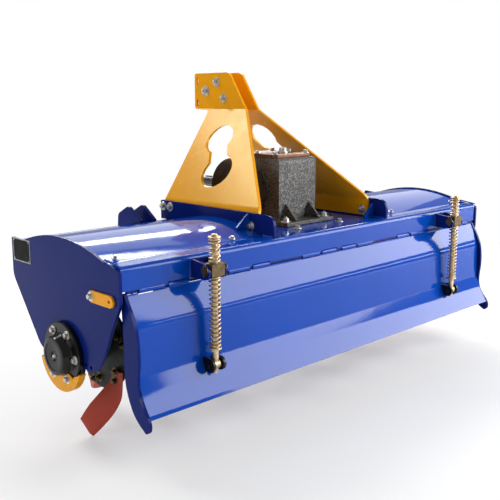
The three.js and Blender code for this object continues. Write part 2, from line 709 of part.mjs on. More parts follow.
const flapEnd = () =>
  alongX(
    [
      [-4, -87],
      [-23, -105],
      [-36, -134],
      [-42, -171],
      [-43, -212],
      [-39, -237],
      [-37, -268],
      [-42, -291],
      [-58, -313],
      [-74, -331],
      [-80, -347, 6],
      [-76, -362, 6],
      [-65, -367, 5],
      [-59, -359, 5],
      [-44, -354],
      [-23, -337],
      [-4, -303],
      [7, -270],
      [9, -214],
      [9, -159],
      [13, -102, 8],
    ],
    FLAP_STRIP_INNER_X,
    FLAP_STRIP_OUTER_X,
  );

add("flap_panel", flapPanel(), BLUE);
addPair("flap_end", flapEnd(), BLUE);
add("hinge_rod", rodX(HINGE_Y, HINGE_Z, HINGE_ROD_RADIUS, -FLAP_HALF_WIDTH, FLAP_HALF_WIDTH), ZINC);

// ---------- Spring rods that press the flap down ----------
const SWIVEL_TOP_Z = SWIVEL_Z + SWIVEL_HEIGHT / 2;
const SWIVEL_BOTTOM_Z = SWIVEL_Z - SWIVEL_HEIGHT / 2;

function rodBracket() {
  const back = -SEAT_GAP;
  const side = [
    [back, -9],
    [-56, -15, 9],
    [-70, -32, 9],
    [-62, -52, 9],
    [back, -52],
  ];
  const half = BRACKET_GAP / 2;
  const plan = [
    [ROD_X - half - BRACKET_EAR, back],
    [ROD_X - half - BRACKET_EAR, -80],
    [ROD_X - half, -80],
    [ROD_X - half, back - BRACKET_EAR],
    [ROD_X + half, back - BRACKET_EAR],
    [ROD_X + half, -80],
    [ROD_X + half + BRACKET_EAR, -80],
    [ROD_X + half + BRACKET_EAR, back],
  ];
  const channel = common(alongZ(plan, -80, 20), alongX(side, 0, WIDTH));
  return cut(channel, rodX(ROD_Y, SWIVEL_Z, SWIVEL_PIN_RADIUS + RUNNING_GAP, 0, WIDTH));
}

function rodSwivel() {
  const half = BRACKET_GAP / 2 - 2.5;
  const block = box([ROD_X - half, ROD_X + half], [ROD_Y - 14, ROD_Y + 14], [SWIVEL_BOTTOM_Z, SWIVEL_TOP_Z]);
  const reach = BRACKET_GAP / 2 + BRACKET_EAR + 6;
  const pin = rodX(ROD_Y, SWIVEL_Z, SWIVEL_PIN_RADIUS, ROD_X - reach, ROD_X + reach);
  return cut(join(block, pin), rodZ(ROD_X, ROD_Y, ROD_RADIUS + RUNNING_GAP, -80, 20));
}

// A spring stands as the tube that it fills.
function spring(from, to) {
  const bore = rodZ(ROD_X, ROD_Y, ROD_RADIUS + SPRING_BORE_GAP, from - 1, to + 1);
  return cut(rodZ(ROD_X, ROD_Y, SPRING_RADIUS, from, to), bore);
}

function springRod() {
  const shaft = rodZ(ROD_X, ROD_Y, ROD_RADIUS, ROD_EYE_Z, ROD_TOP_Z);
  const nut = rodZ(ROD_X, ROD_Y, SPRING_RADIUS + 1, ROD_TOP_Z - 8, ROD_TOP_Z - 1);
  const washer = rodZ(ROD_X, ROD_Y, SPRING_RADIUS + 1.5, SPRING_WASHER_Z - 4, SPRING_WASHER_Z);
  const eye = rodX(ROD_Y, ROD_EYE_Z, ROD_EYE_RADIUS, ROD_X - 9, ROD_X + 9);
  const pin = rodX(ROD_Y, ROD_EYE_Z, ROD_PIN_RADIUS, ROD_X - 26, ROD_X + 26);
  return join(shaft, nut, washer, eye, pin);
}

addPair("rod_bracket", rodBracket(), BLUE);
addPair("rod_swivel", rodSwivel(), ZINC);
addPair("upper_spring", spring(SWIVEL_TOP_Z + SEAT_GAP, ROD_TOP_Z - 8 - SEAT_GAP), GOLD_ZINC);
addPair("lower_spring", spring(SPRING_WASHER_Z + SEAT_GAP, SWIVEL_BOTTOM_Z - SEAT_GAP), GOLD_ZINC);
addPair("spring_rod", springRod(), GOLD_ZINC);

// ---------- Rotor: two half shafts with three rings of six blades each ----------
function rotorShaft() {
  const caseEnd = CASE_HALF_WIDTH - CASE_SHAFT_SEAT + 2; // short of the bottom of its seat
  const hubEnd = SIDE_OUTER_X + HUB_DEPTH - 14;
  const profile = [
    [0, caseEnd],
    [CASE_SHAFT_RADIUS, caseEnd],
    [CASE_SHAFT_RADIUS, CASE_HALF_WIDTH + SHAFT_END_GAP],
    [SHAFT_RADIUS, CASE_HALF_WIDTH + SHAFT_END_GAP],
    [SHAFT_RADIUS, SIDE_INNER_X - SHAFT_END_GAP],
    [HUB_SHAFT_RADIUS, SIDE_INNER_X - SHAFT_END_GAP],
    [HUB_SHAFT_RADIUS, hubEnd],
    [0, hubEnd],
  ];
  return turnedX(ROTOR_Y, -ROTOR_DROP, profile, 24);
}

// One blade about the rotor axis: a flat bar that leaves the ring at a slant and curls until it
// runs round the axis, with its end set sideways. Angles grow with the turn about +X.
function blade(side) {
  const rootRadius = 90;
  const tipAngle = THREE.MathUtils.degToRad(52);
  const rootHeading = THREE.MathUtils.degToRad(60);
  const tipHeading = THREE.MathUtils.degToRad(101);
  const tipRadius = BLADE_RADIUS - 25;
  const start = new THREE.Vector2(rootRadius, 0);
  const end = new THREE.Vector2(tipRadius * Math.cos(tipAngle), tipRadius * Math.sin(tipAngle));
  const away = (point, heading, length) =>
    new THREE.Vector2(point.x + length * Math.cos(heading), point.y + length * Math.sin(heading));
  const leaving = away(start, rootHeading, 55);
  const arriving = away(end, tipHeading, -45);
  const path = new THREE.CubicBezierCurve(start, leaving, arriving, end);
  const steps = 6;
  const edges = [-1, 1].map((edge) =>
    Array.from({ length: steps + 1 }, (_, i) => {
      const point = path.getPoint(i / steps);
      const along = path.getTangent(i / steps);
      const half = (edge * BLADE_WIDTH) / 2;
      return [point.x + along.y * half, point.y - along.x * half];
    }));
  const flat = [...edges[0], ...edges[1].reverse()];
  const corner = Math.max(...flat.map(([a, b]) => Math.hypot(a, b)));
  const fitted = flat.map(([a, b]) => [(a * BLADE_RADIUS) / corner, (b * BLADE_RADIUS) / corner]);
  const bar = alongX(fitted, 0, BLADE_THICKNESS);
  const { position } = bar.attributes;
  for (let i = 0; i < position.count; i += 1) {
    const angle = THREE.MathUtils.radToDeg(Math.atan2(position.getZ(i), position.getY(i)));
    const set = BLADE_THROW * THREE.MathUtils.smoothstep(angle, 18, 56);
    position.setX(i, side * (position.getX(i) + set + RING_THICKNESS / 2 - 0.5));
  }
  const further = (far, point) => (Math.hypot(...point) > Math.hypot(...far) ? point : far);
  const [tipY, tipZ] = fitted.reduce(further);
  return { bar, cornerAngle: Math.atan2(tipZ, tipY) };
}

function bladeRing(cornerDegrees) {
  const pieces = Array.from({ length: BLADES_PER_RING }, (_, i) => {
    const { bar, cornerAngle } = blade(i % 2 ? -1 : 1);
    const turn = THREE.MathUtils.degToRad(cornerDegrees + (360 / BLADES_PER_RING) * i) - cornerAngle;
    return bar.rotateX(turn);
  });
  const disc = rodX(0, 0, RING_RADIUS, -RING_THICKNESS / 2, RING_THICKNESS / 2, 24);
  const bore = rodX(0, 0, SHAFT_RADIUS + RUNNING_GAP, -100, 100, 24);
  return cut(join(disc, ...pieces), bore).translate(0, ROTOR_Y, -ROTOR_DROP);
}

// Each ring is turned a third of a blade spacing from the last, so the blades strike one by one.
addPair("rotor_shaft", rotorShaft(), BLACK);
const ringStep = 360 / BLADES_PER_RING / RINGS_PER_SIDE;
for (let i = 0; i < RINGS_PER_SIDE; i += 1) {
  const x = FIRST_RING_X + RING_PITCH * i;
  const corner = 270 - STANCE_ANGLE + ringStep * (RINGS_PER_SIDE - 1 - i);
  addPair(`blade_ring_${i + 1}`, bladeRing(corner).translate(x, 0, 0), RED);
}

// ---------- Set the machine down over the origin ----------
const bounds = new THREE.Box3().setFromObject(machine);
const middle = bounds.getCenter(new THREE.Vector3());
machine.position.set(-middle.x, -middle.y, DECK_Z);

export default machine;
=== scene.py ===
import json
import math

import bmesh
import bpy
from mathutils import Matrix, Vector


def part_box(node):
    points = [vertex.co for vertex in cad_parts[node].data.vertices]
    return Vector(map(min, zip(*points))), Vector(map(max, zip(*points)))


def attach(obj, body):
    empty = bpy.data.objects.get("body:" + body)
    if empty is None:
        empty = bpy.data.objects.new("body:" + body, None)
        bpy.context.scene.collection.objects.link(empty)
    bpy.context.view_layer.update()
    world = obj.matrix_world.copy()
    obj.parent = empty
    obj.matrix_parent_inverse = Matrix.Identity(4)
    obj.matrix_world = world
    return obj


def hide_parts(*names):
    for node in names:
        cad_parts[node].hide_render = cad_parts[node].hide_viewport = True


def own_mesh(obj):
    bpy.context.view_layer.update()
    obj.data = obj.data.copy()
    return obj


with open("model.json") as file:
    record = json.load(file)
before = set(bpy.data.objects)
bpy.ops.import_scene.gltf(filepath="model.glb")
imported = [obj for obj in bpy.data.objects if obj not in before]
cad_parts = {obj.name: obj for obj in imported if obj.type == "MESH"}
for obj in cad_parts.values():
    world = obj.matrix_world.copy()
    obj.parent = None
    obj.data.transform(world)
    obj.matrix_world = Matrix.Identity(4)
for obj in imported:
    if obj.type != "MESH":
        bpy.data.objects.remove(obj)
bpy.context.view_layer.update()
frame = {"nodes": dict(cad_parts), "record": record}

# ---------- Camera and studio ----------
# A standing view from behind the left end, with one white paper floor and background.
# The light is a bank of soft boxes behind the machine and overhead; the left end stays in shade.
MM = 0.001
CAMERA_AT = Vector((-1650, -1592, 815)) * MM
CAMERA_AZIMUTH = -44.14
CAMERA_DOWN = 11.1
CAMERA_LENS = 54.4

camera_data = bpy.data.cameras.new("camera")
camera_data.sensor_width = 36
camera_data.lens = CAMERA_LENS
camera = bpy.data.objects.new("camera", camera_data)
camera.location = CAMERA_AT
camera.rotation_euler = (math.radians(90 - CAMERA_DOWN), 0, math.radians(CAMERA_AZIMUTH))
bpy.context.scene.collection.objects.link(camera)
bpy.context.scene.camera = camera
bpy.context.scene.view_settings.view_transform = "Standard"


def linear(colour):
    """An sRGB hex colour as linear red, green, blue and alpha."""
    parts = [int(colour[i:i + 2], 16) / 255 for i in (1, 3, 5)]
    return [c / 12.92 if c <= 0.04045 else ((c + 0.055) / 1.055) ** 2.4 for c in parts] + [1]


def add_node(tree, kind, inputs=None, **settings):
    """A shader node with its settings, and its inputs set or linked."""
    made = tree.nodes.new("ShaderNode" + kind)
    for name, value in settings.items():
        setattr(made, name, value)
    for socket, value in (inputs or {}).items():
        if isinstance(value, bpy.types.NodeSocket):
            tree.links.new(value, made.inputs[socket])
        else:
            made.inputs[socket].default_value = value
    return made


def soft_box(name, at, aim, width, height, watts):
    """A rectangular lamp that faces a point; places and sizes are in metres."""
    data = bpy.data.lights.new(name, "AREA")
    data.shape = "RECTANGLE"
    data.size = width
    data.size_y = height
    data.energy = watts
    lamp = bpy.data.objects.new(name, data)
    lamp.location = at
    lamp.rotation_euler = (Vector(aim) - Vector(at)).to_track_quat("-Z", "Y").to_euler()
    bpy.context.scene.collection.objects.link(lamp)


# The rear box and the line under it show in the flap, the two strips in the arch of the hood,
# and the mast box in the folded face of the mast.
FLAP_AIM = (0, -0.25, 0.4)
HOOD_AIM = (-0.5, 0, 0.45)
soft_box("rear_box", (3.6, -3.25, 2.2), FLAP_AIM, 3.8, 2.5, 300)
soft_box("rear_line", (3.6, -3.25, 0.5), FLAP_AIM, 3.8, 0.12, 16)
soft_box("hood_strip_low", (2.2, 3.0, 2.45), HOOD_AIM, 3.8, 0.36, 80)
soft_box("hood_strip_high", (2.1, 2.4, 3.7), HOOD_AIM, 3.8, 0.3, 65)
soft_box("hood_panel", (3.8, 4.3, 3.0), (0, 0, 0.45), 6.0, 3.4, 75)
soft_box("mast_box", (-1.15, 2.9, 3.65), (0, 0.1, 0.65), 1.6, 0.9, 64)
soft_box("left_fill", (-4.4, 0.6, 1.6), (-0.7, 0, 0.3), 2.0, 1.2, 40)

# The eye sees plain white behind the machine. What the machine itself sees is dimmer, as in a room.
ROOM_LIGHT = 0.3
ROOM_IN_GLOSS = 0.1
world = bpy.data.worlds.new("studio")
bpy.context.scene.world = world
world.use_nodes = True
world_tree = world.node_tree
world_rays = add_node(world_tree, "LightPath")
through = add_node(world_tree, "Math", {
    0: world_rays.outputs["Is Camera Ray"], 1: world_rays.outputs["Is Transmission Ray"]},
    operation="MAXIMUM")
seen = add_node(
    world_tree, "Math", {0: through.outputs[0], 1: 1 - ROOM_LIGHT}, operation="MULTIPLY")
gloss = add_node(world_tree, "Math", {
    0: world_rays.outputs["Is Glossy Ray"], 1: ROOM_IN_GLOSS, 2: seen.outputs[0]},
    operation="MULTIPLY_ADD")
world_strength = add_node(
    world_tree, "Math", {0: gloss.outputs[0], 1: ROOM_LIGHT}, operation="ADD")
world_tree.nodes["Background"].inputs["Color"].default_value = linear("#ffffff")
world_tree.links.new(world_strength.outputs[0], world_tree.nodes["Background"].inputs["Strength"])

# White seamless paper: matt, and lit until it runs into the background away from the machine.
PAPER_CLEAR = 0.3
PAPER_NEAR = 1.0
PAPER_FAR = 2.6
paper = bpy.data.materials.new("white_seamless_paper")
paper.use_nodes = True
paper_tree = paper.node_tree
paper_skin = paper_tree.nodes["Principled BSDF"]
paper_skin.inputs["Base Color"].default_value = linear("#f6f6f6")
paper_skin.inputs["Roughness"].default_value = 0.95
paper_skin.inputs["Specular IOR Level"].default_value = 0
paper_rays = add_node(paper_tree, "LightPath")
paper_place = add_node(paper_tree, "TexCoord")
paper_away = add_node(
    paper_tree, "VectorMath", {0: paper_place.outputs["Object"]}, operation="LENGTH")
paper_glow = add_node(paper_tree, "MapRange", {
    "Value": paper_away.outputs["Value"], "From Min": PAPER_NEAR, "From Max": PAPER_FAR,
    "To Min": PAPER_CLEAR, "To Max": 1}, interpolation_type="SMOOTHSTEP")
paper_seen = add_node(paper_tree, "Math", {
    0: paper_rays.outputs["Is Camera Ray"], 1: paper_rays.outputs["Is Transmission Ray"]},
    operation="MAXIMUM")
paper_share = add_node(paper_tree, "Math", {
    0: paper_glow.outputs["Result"], 1: paper_seen.outputs[0]}, operation="MULTIPLY")
paper_white = add_node(paper_tree, "Emission", {"Strength": 1.0})
paper_mix = add_node(paper_tree, "MixShader", {
    0: paper_share.outputs[0], 1: paper_skin.outputs[0], 2: paper_white.outputs[0]})
paper_tree.links.new(paper_mix.outputs[0], paper_tree.nodes["Material Output"].inputs["Surface"])

floor_mesh = bpy.data.meshes.new("floor")
FLOOR_REACH = 14
floor_mesh.from_pydata(
    [(-FLOOR_REACH, -FLOOR_REACH, 0), (FLOOR_REACH, -FLOOR_REACH, 0),
     (FLOOR_REACH, FLOOR_REACH, 0), (-FLOOR_REACH, FLOOR_REACH, 0)],
    [], [(0, 1, 2, 3)])
floor_mesh.materials.append(paper)
floor = bpy.data.objects.new("floor", floor_mesh)
bpy.context.scene.collection.objects.link(floor)

# ---------- Hood: side plates, beams, arched sheets and deck ----------
# Mild steel plate and sheet, cut, folded and welded, then stoved in a gloss blue enamel.
# Lengths are millimetres from the deck's top face and the back of the rear beam.
DECK_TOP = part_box("deck_plate")[1].z
RAIL_REAR_FROM_BEAM = 16
BEAM_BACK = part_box("hitch_rail_left")[0].y - RAIL_REAR_FROM_BEAM * MM
BLUE_ENAMEL_COLOUR = "#0643a8"
# The navy is the blue enamel with shade painted in.
SHADED_BLUE_ENAMEL_COLOUR = "#0c1f68"


def spot(x, y, z):
    """A point given in millimetres from the deck, in the row frame."""
    return Vector((x * MM, y * MM + BEAM_BACK, z * MM + DECK_TOP))


def start_material(name):
    """A new material with its node tree, its shader and the place on the object."""
    made = bpy.data.materials.new(name)
    made.use_nodes = True
    tree = made.node_tree
    return made, tree, tree.nodes["Principled BSDF"], add_node(tree, "TexCoord").outputs["Object"]


def set_shades(ramp, dark, light, low=0.0, high=1.0):
    """Gives a colour ramp its two shades and the places where they lie."""
    for stop, position, colour in zip(ramp.color_ramp.elements, (low, high), (dark, light)):
        stop.position = position
        stop.color = [min(1, c) for c in colour[:3]] + [1]


def scaled(colour, share):
    """A linear colour made darker or lighter."""
    return [c * share for c in colour[:3]]


def around(centre, radius, angle):
    """A (y, z) point on a circle about the X direction; the angle is in radians from +Y."""
    return centre[0] + radius * math.cos(angle), centre[1] + radius * math.sin(angle)


def enamel(name, colour, roughness=0.07, gloss=0.3, tint="#ffffff"):
    """Stoved enamel on steel: even colour, a wet gloss and the slight ripple called orange peel."""
    made, tree, skin, place = start_material(name)
    cloud = add_node(tree, "TexNoise", {"Vector": place, "Scale": 1000 / 160, "Detail": 3})
    base = linear(colour)
    shades = add_node(tree, "ValToRGB", {"Fac": cloud.outputs["Fac"]})
    set_shades(shades, scaled(base, 0.88), scaled(base, 1.1))
    haze = add_node(tree, "TexNoise", {"Vector": place, "Scale": 1000 / 28, "Detail": 4})
    dull = add_node(tree, "MapRange", {
        "Value": haze.outputs["Fac"], "To Min": roughness * 0.7, "To Max": roughness * 1.4})
    # Real orange peel is 1 to 2 mm across; it is drawn at 5 mm so that it shows.
    peel = add_node(tree, "TexNoise", {"Vector": place, "Scale": 1000 / 5, "Detail": 1})
    ripple = add_node(tree, "TexNoise", {"Vector": place, "Scale": 1000 / 130, "Detail": 2})
    heights = add_node(tree, "Math", {
        0: peel.outputs["Fac"], 1: 0.06, 2: ripple.outputs["Fac"]}, operation="MULTIPLY_ADD")
    bump = add_node(tree, "Bump", {
        "Height": heights.outputs[0], "Strength": 0.4, "Distance": 1.3 * MM})
    skin.inputs["Specular IOR Level"].default_value = gloss
    skin.inputs["Specular Tint"].default_value = linear(tint)
    tree.links.new(shades.outputs["Color"], skin.inputs["Base Color"])
    tree.links.new(dull.outputs["Result"], skin.inputs["Roughness"])
    tree.links.new(bump.outputs["Normal"], skin.inputs["Normal"])
    return made


def put(name, bm, material, body, replaced=(), crease=32):
    """Closes a bmesh into a piece of the machine that rides on a body."""
    bmesh.ops.recalc_face_normals(bm, faces=bm.faces)
    mesh = bpy.data.meshes.new(name)
    bm.to_mesh(mesh)
    bm.free()
    mesh.materials.append(material)
    mesh.shade_smooth()
    mesh.set_sharp_from_angle(angle=math.radians(crease))
    piece = bpy.data.objects.new(name, mesh)
    bpy.context.scene.collection.objects.link(piece)
    weighted = piece.modifiers.new("flat_faces_stay_flat", "WEIGHTED_NORMAL")
    weighted.keep_sharp = True
    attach(piece, body)
    if replaced:
        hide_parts(*replaced)
    return piece


def cad_copy(node):
    """The node's solid with its flat faces whole again, ready for rounded edges."""
    bm = bmesh.new()
    bm.from_mesh(frame["nodes"][node].data)
    bmesh.ops.remove_doubles(bm, verts=bm.verts, dist=0.02 * MM)
    bmesh.ops.dissolve_limit(bm, angle_limit=math.radians(0.6), verts=bm.verts, edges=bm.edges)
    return bm


def ease_edges(bm, radius_mm, sharper_than=42, segments=2):
    """Rounds the sharp edges, as paint and tumbling do."""
    edges = [e for e in bm.edges if len(e.link_faces) == 2
             and e.calc_face_angle(0) > math.radians(sharper_than)]
    bmesh.ops.bevel(bm, geom=edges, offset=radius_mm * MM, segments=segments, profile=0.6,
                    affect="EDGES", clamp_overlap=True)
    bmesh.ops.dissolve_degenerate(bm, dist=0.02 * MM, edges=bm.edges)
    return bm


def drill(bm, holes):
    """Cuts holes along X: a centre, a radius and a length, and how tall for its width."""
    bmesh.ops.recalc_face_normals(bm, faces=bm.faces)
    before = bpy.data.meshes.new("undrilled")
    bm.to_mesh(before)
    bm.free()
    work = bpy.data.objects.new("undrilled", before)
    cutter_bm = bmesh.new()
    for centre, radius, length, *tall in holes:
        stretch = Matrix.Diagonal((1, 1, *(tall or [1]), 1))
        turn = Matrix.Translation(spot(*centre)) @ stretch @ Matrix.Rotation(math.pi / 2, 4, "Y")
        bmesh.ops.create_cone(cutter_bm, cap_ends=True, segments=24, radius1=radius * MM,
                              radius2=radius * MM, depth=length * MM, matrix=turn)
    cutter_mesh = bpy.data.meshes.new("drill")
    cutter_bm.to_mesh(cutter_mesh)
    cutter_bm.free()
    cutter = bpy.data.objects.new("drill", cutter_mesh)
    for helper in (work, cutter):
        bpy.context.scene.collection.objects.link(helper)
    cut = work.modifiers.new("cut", "BOOLEAN")
    cut.object = cutter
    cut.solver = "EXACT"
    bpy.context.view_layer.update()
    drilled = bmesh.new()
    drilled.from_mesh(work.evaluated_get(bpy.context.evaluated_depsgraph_get()).to_mesh())
    for helper in (work, cutter):
        bpy.data.objects.remove(helper)
    return drilled


BODY_OF = {node: body for body, nodes in frame["record"]["behaviour"]["bodies"].items()
           for node in nodes}


def dress(node, material, edge_mm, holes=()):
    """A CAD piece with eased edges and its finish; it stands for the plain one."""
    bm = cad_copy(node)
    if holes:
        bm = drill(bm, holes)
    ease_edges(bm, edge_mm)
    return put(node + "_finished", bm, material, BODY_OF[node], (node,))


blue_enamel = enamel("stoved_blue_enamel", BLUE_ENAMEL_COLOUR, 0.07, 0.22)
# The plates, strips and hinge rod take a darker, duller copy of the blue enamel, as painted shade.
blue_enamel_painted_shade = enamel("stoved_blue_enamel_painted_shade", SHADED_BLUE_ENAMEL_COLOUR, 0.18, 0.08)
SIDES = (("left", -1), ("right", 1))
SIDE_X = 746
SMALL_HOLE = 4.5
WIRE_HOLES = ((145, -256), (123, -258))
for side, sign in SIDES:
    wire_holes = [((sign * SIDE_X, y, z), SMALL_HOLE, 20) for y, z in WIRE_HOLES]
    dress(f"side_plate_{side}", blue_enamel_painted_shade, 1.2, wire_holes)
    dress(f"hood_sheet_{side}", blue_enamel, 0.8)
for beam in ("rear_beam", "front_beam", "deck_plate"):
    dress(beam, blue_enamel, 1.5)

# ---------- Screws, nuts and welds of the hood and rails ----------
# Hexagon screws M8 to M12 in bright zinc, each on a plain washer, hold the hood sheets to the
# beam and the mast to the rails. The blue plates are welded, and the beads are painted over.
def turned(bm, at, axis, profile, sides=32, spin=0.0):
    """Turns a profile of (radius, distance along the axis) about an axis, as a lathe does."""
    stand = Vector(axis).to_track_quat("Z", "Y").to_matrix()
    rings = []
    for radius, along in profile:
        count = sides if radius else 1
        ring = []
        for i in range(count):
            angle = spin + 2 * math.pi * i / sides
            offset = Vector((radius * math.cos(angle), radius * math.sin(angle), along))
            ring.append(bm.verts.new(spot(*at) + stand @ offset * MM))
        rings.append(ring)
    if profile[0] == profile[-1]:
        rings[-1] = rings[0]
    for low, high in zip(rings, rings[1:]):
        for i in range(sides):
            loop = [low[i % len(low)], low[(i + 1) % len(low)],
                    high[(i + 1) % len(high)], high[i % len(high)]]
            corners = list(dict.fromkeys(loop))
            if len(corners) > 2:
                bm.faces.new(corners)
    return bm


def hex_screw(bm, at, axis, across=13, washer=2, shank=0.0, spin=0.4):
    """A hexagon head or nut on its washer; a shank is the screw's end standing past a nut."""
    corner = across / 2 / math.cos(math.pi / 6)
    top = washer + across * 0.62
    if washer:
        turned(bm, at, axis, [(0, 0), (across * 0.95, 0), (across * 0.98, washer * 0.4),
                              (across * 0.92, washer), (0, washer)], 28)
    turned(bm, at, axis, [(0, washer), (corner, washer), (corner, top - across * 0.08),
                          (corner * 0.84, top), (0, top)], 6, spin)
    if shank:
        thread = across * 0.3
        turned(bm, at, axis, [(0, top), (thread, top), (thread, top + shank - 1),
                              (thread * 0.7, top + shank), (0, top + shank)], 16)


def skin_rings(bm, rings):
    """Joins rings of vertices, one after the other, and closes both ends."""
    for low, high in zip(rings, rings[1:]):
        for k in range(len(low)):
            after = (k + 1) % len(low)
            bm.faces.new((low[k], low[after], high[after], high[k]))
    bm.faces.new(rings[0][::-1])
    bm.faces.new(rings[-1])
    return bm


def tube(bm, path, radius, sides=10):
    """Sweeps a round wire along row-frame points; radius is a number or follows the step."""
    size = radius if callable(radius) else lambda step: radius
    side = None
    rings = []
    for i, point in enumerate(path):
        along = (path[min(i + 1, len(path) - 1)] - path[max(i - 1, 0)]).normalized()
        if side is None:
            side = along.orthogonal().normalized()
        side = (side - along * side.dot(along)).normalized()
        up = along.cross(side)
        ring = []
        for k in range(sides):
            angle = 2 * math.pi * k / sides
            offset = (side * math.cos(angle) + up * math.sin(angle)) * size(i) * MM
            ring.append(bm.verts.new(point + offset))
        rings.append(ring)
    return skin_rings(bm, rings)


def weld(bm, start, end, size=3.2):
    """A fillet weld between two points: a bead with the ripple of the weld pool, 4 mm apart."""
    length = (Vector(end) - Vector(start)).length
    steps = max(4, int(length / 1.4))
    path = [spot(*Vector(start).lerp(Vector(end), i / steps)) for i in range(steps + 1)]
    return tube(bm, path, lambda i: size * (0.86 + 0.14 * abs(math.sin(i * 1.1))), 8)


def plate(bm, outline, across):
    """A flat plate: an outline of row-frame points, made thick by a vector."""
    near = [bm.verts.new(point) for point in outline]
    far = [bm.verts.new(point + across) for point in outline]
    bm.faces.new(near)
    bm.faces.new(far[::-1])
    for i, corner in enumerate(near):
        after = (i + 1) % len(near)
        bm.faces.new((corner, near[after], far[after], far[i]))
    return bm


def plated_steel(name, colour, roughness, grain_mm):
    """Zinc plating on turned or pressed steel: a grey or straw metal with cloudy brightness."""
    made, tree, skin, place = start_material(name)
    cloud = add_node(tree, "TexNoise", {"Vector": place, "Scale": 1000 / 9, "Detail": 4})
    base = linear(colour)
    shades = add_node(tree, "ValToRGB", {"Fac": cloud.outputs["Fac"]})
    set_shades(shades, scaled(base, 0.6), scaled(base, 1.25), 0.3, 0.7)
    grain = add_node(tree, "TexNoise", {"Vector": place, "Scale": 1000 / grain_mm, "Detail": 2})
    dull = add_node(tree, "MapRange", {
        "Value": grain.outputs["Fac"], "To Min": roughness * 0.6, "To Max": roughness * 1.5})
    bump = add_node(tree, "Bump", {
        "Height": grain.outputs["Fac"], "Strength": 0.2, "Distance": 0.3 * MM})
    skin.inputs["Metallic"].default_value = 1
    tree.links.new(shades.outputs["Color"], skin.inputs["Base Color"])
    tree.links.new(dull.outputs["Result"], skin.inputs["Roughness"])
    tree.links.new(bump.outputs["Normal"], skin.inputs["Normal"])
    return made


bright_zinc = plated_steel("bright_zinc_plated_steel", "#d2d0ca", 0.38, 1.5)
HUMP_MIDDLE_Y = 241.5
HUMP_CENTRE_Z = -483
SHEET_TOP_RADIUS = 516
RAIL_FACE_X = 251
RAIL_INNER_X = 241
MAST_FOOT_INNER_X = 232.7


def hood_top(y):
    """Height of the arched sheet's top face at a place along Y, in millimetres."""
    return HUMP_CENTRE_Z + math.sqrt(SHEET_TOP_RADIUS ** 2 - (y - HUMP_MIDDLE_Y) ** 2)


screws = bmesh.new()
HOOD_SCREW_XS = (706, 347)
HOOD_SCREW_Y = 73
RAIL_SCREWS = ((484, 40), (450, 40), (103, 22))
DECK_SCREW = (92, 78)
for sign in (-1, 1):
    for x in HOOD_SCREW_XS:
        at = (sign * x, HOOD_SCREW_Y, hood_top(HOOD_SCREW_Y))
        hex_screw(screws, at, (0, HOOD_SCREW_Y - HUMP_MIDDLE_Y, SHEET_TOP_RADIUS), 9, 1.5)
    for y, z in RAIL_SCREWS:
        hex_screw(screws, (sign * RAIL_FACE_X, y, z), (sign, 0, 0), 14, 1.6)
        hex_screw(screws, (sign * MAST_FOOT_INNER_X, y, z), (-sign, 0, 0), 14, 1.6, 5)
    hex_screw(screws, (sign * DECK_SCREW[0], DECK_SCREW[1], 0), (0, 0, 1), 13)
put("hood_and_rail_screws", screws, bright_zinc, "frame")

gussets = bmesh.new()
GUSSET_SHEET = 6
INNER_GUSSET = (62, RAIL_INNER_X, -46, 0.3, 42)
OUTER_GUSSET = (107, RAIL_FACE_X, 46, hood_top(110), 56)
for sign in (-1, 1):
    for y, x, reach, foot, top in (INNER_GUSSET, OUTER_GUSSET):
        corners = [(x, foot), (x + reach, foot), (x + reach, foot + 7), (x + reach / 8, top),
                   (x, top)]
        plate(gussets, [spot(sign * a, y, b) for a, b in corners],
              Vector((0, GUSSET_SHEET * MM, 0)))
ease_edges(gussets, 0.8)
put("rail_gussets", gussets, blue_enamel, "frame")

# Each bead: its two ends on the right half of the machine, and its size where it isn't 3.2 mm.
BEADS = [
    ((RAIL_FACE_X, 20, 1), (RAIL_FACE_X, 56, 1)),
    ((RAIL_INNER_X, 20, 1), (RAIL_INNER_X, 470, 1)),
    ((743, 60, 8), (743, 0, 0), 2.4),
    ((RAIL_INNER_X - 2, 61, 1), (RAIL_INNER_X - 44, 61, 1), 2.4),
    ((491, -1, -10), (491, -1, -50), 2.4), ((549, -1, -10), (549, -1, -50), 2.4),
    ((311, 479, -6), (311, 479, -78), 2.6), ((371, 479, -6), (371, 479, -78), 2.6)]
beads = bmesh.new()
for sign in (-1, 1):
    for start, end, *size in BEADS:
        weld(beads, (sign * start[0], *start[1:]), (sign * end[0], *end[1:]), *size)
put("weld_beads", beads, blue_enamel, "frame")

# ---------- Hitch rails and mast ----------
# The rails are 10 mm plate on edge, welded to the deck. The mast is two 8 mm plates, each cut with
# a window and folded twice, in yellow enamel, bolted inside the rails and together at the head.
for side in ("left", "right"):
    dress(f"hitch_rail_{side}", blue_enamel_painted_shade, 1.5)
yellow_enamel = enamel("stoved_yellow_enamel", "#ec9f08", 0.24, 0.34, "#fff480")
MAST_HEAD_FACE_X = 30
MAST_HALF_SHEET = 4
HEAD_SLOTS = ((577, 416), (577, 346))
for side, sign in SIDES:
    slots = [((sign * (MAST_HEAD_FACE_X - MAST_HALF_SHEET), y, z), 5, 24, 2.5)
             for y, z in HEAD_SLOTS]
    dress(f"mast_plate_{side}", yellow_enamel, 1.0, slots)

MAST_BOLTS = (("top_link_pin", (537, 384), 17), ("mast_bolt_upper", (484, 411), 15),
              ("mast_bolt_lower", (452, 361), 15))
for name, (y, z), across in MAST_BOLTS:
    bolt = bmesh.new()
    shank = across * 0.46
    length = 2 * MAST_HEAD_FACE_X + 2
    turned(bolt, (-length / 2, y, z), (1, 0, 0),
           [(0, 0), (shank, 0), (shank, length), (0, length)], 28)
    for sign, end in ((-1, 3), (1, 0)):
        hex_screw(bolt, (sign * MAST_HEAD_FACE_X, y, z), (sign, 0, 0), across, 2.4, end)
    put(name + "_and_nut", bolt, bright_zinc, "frame", (name,))
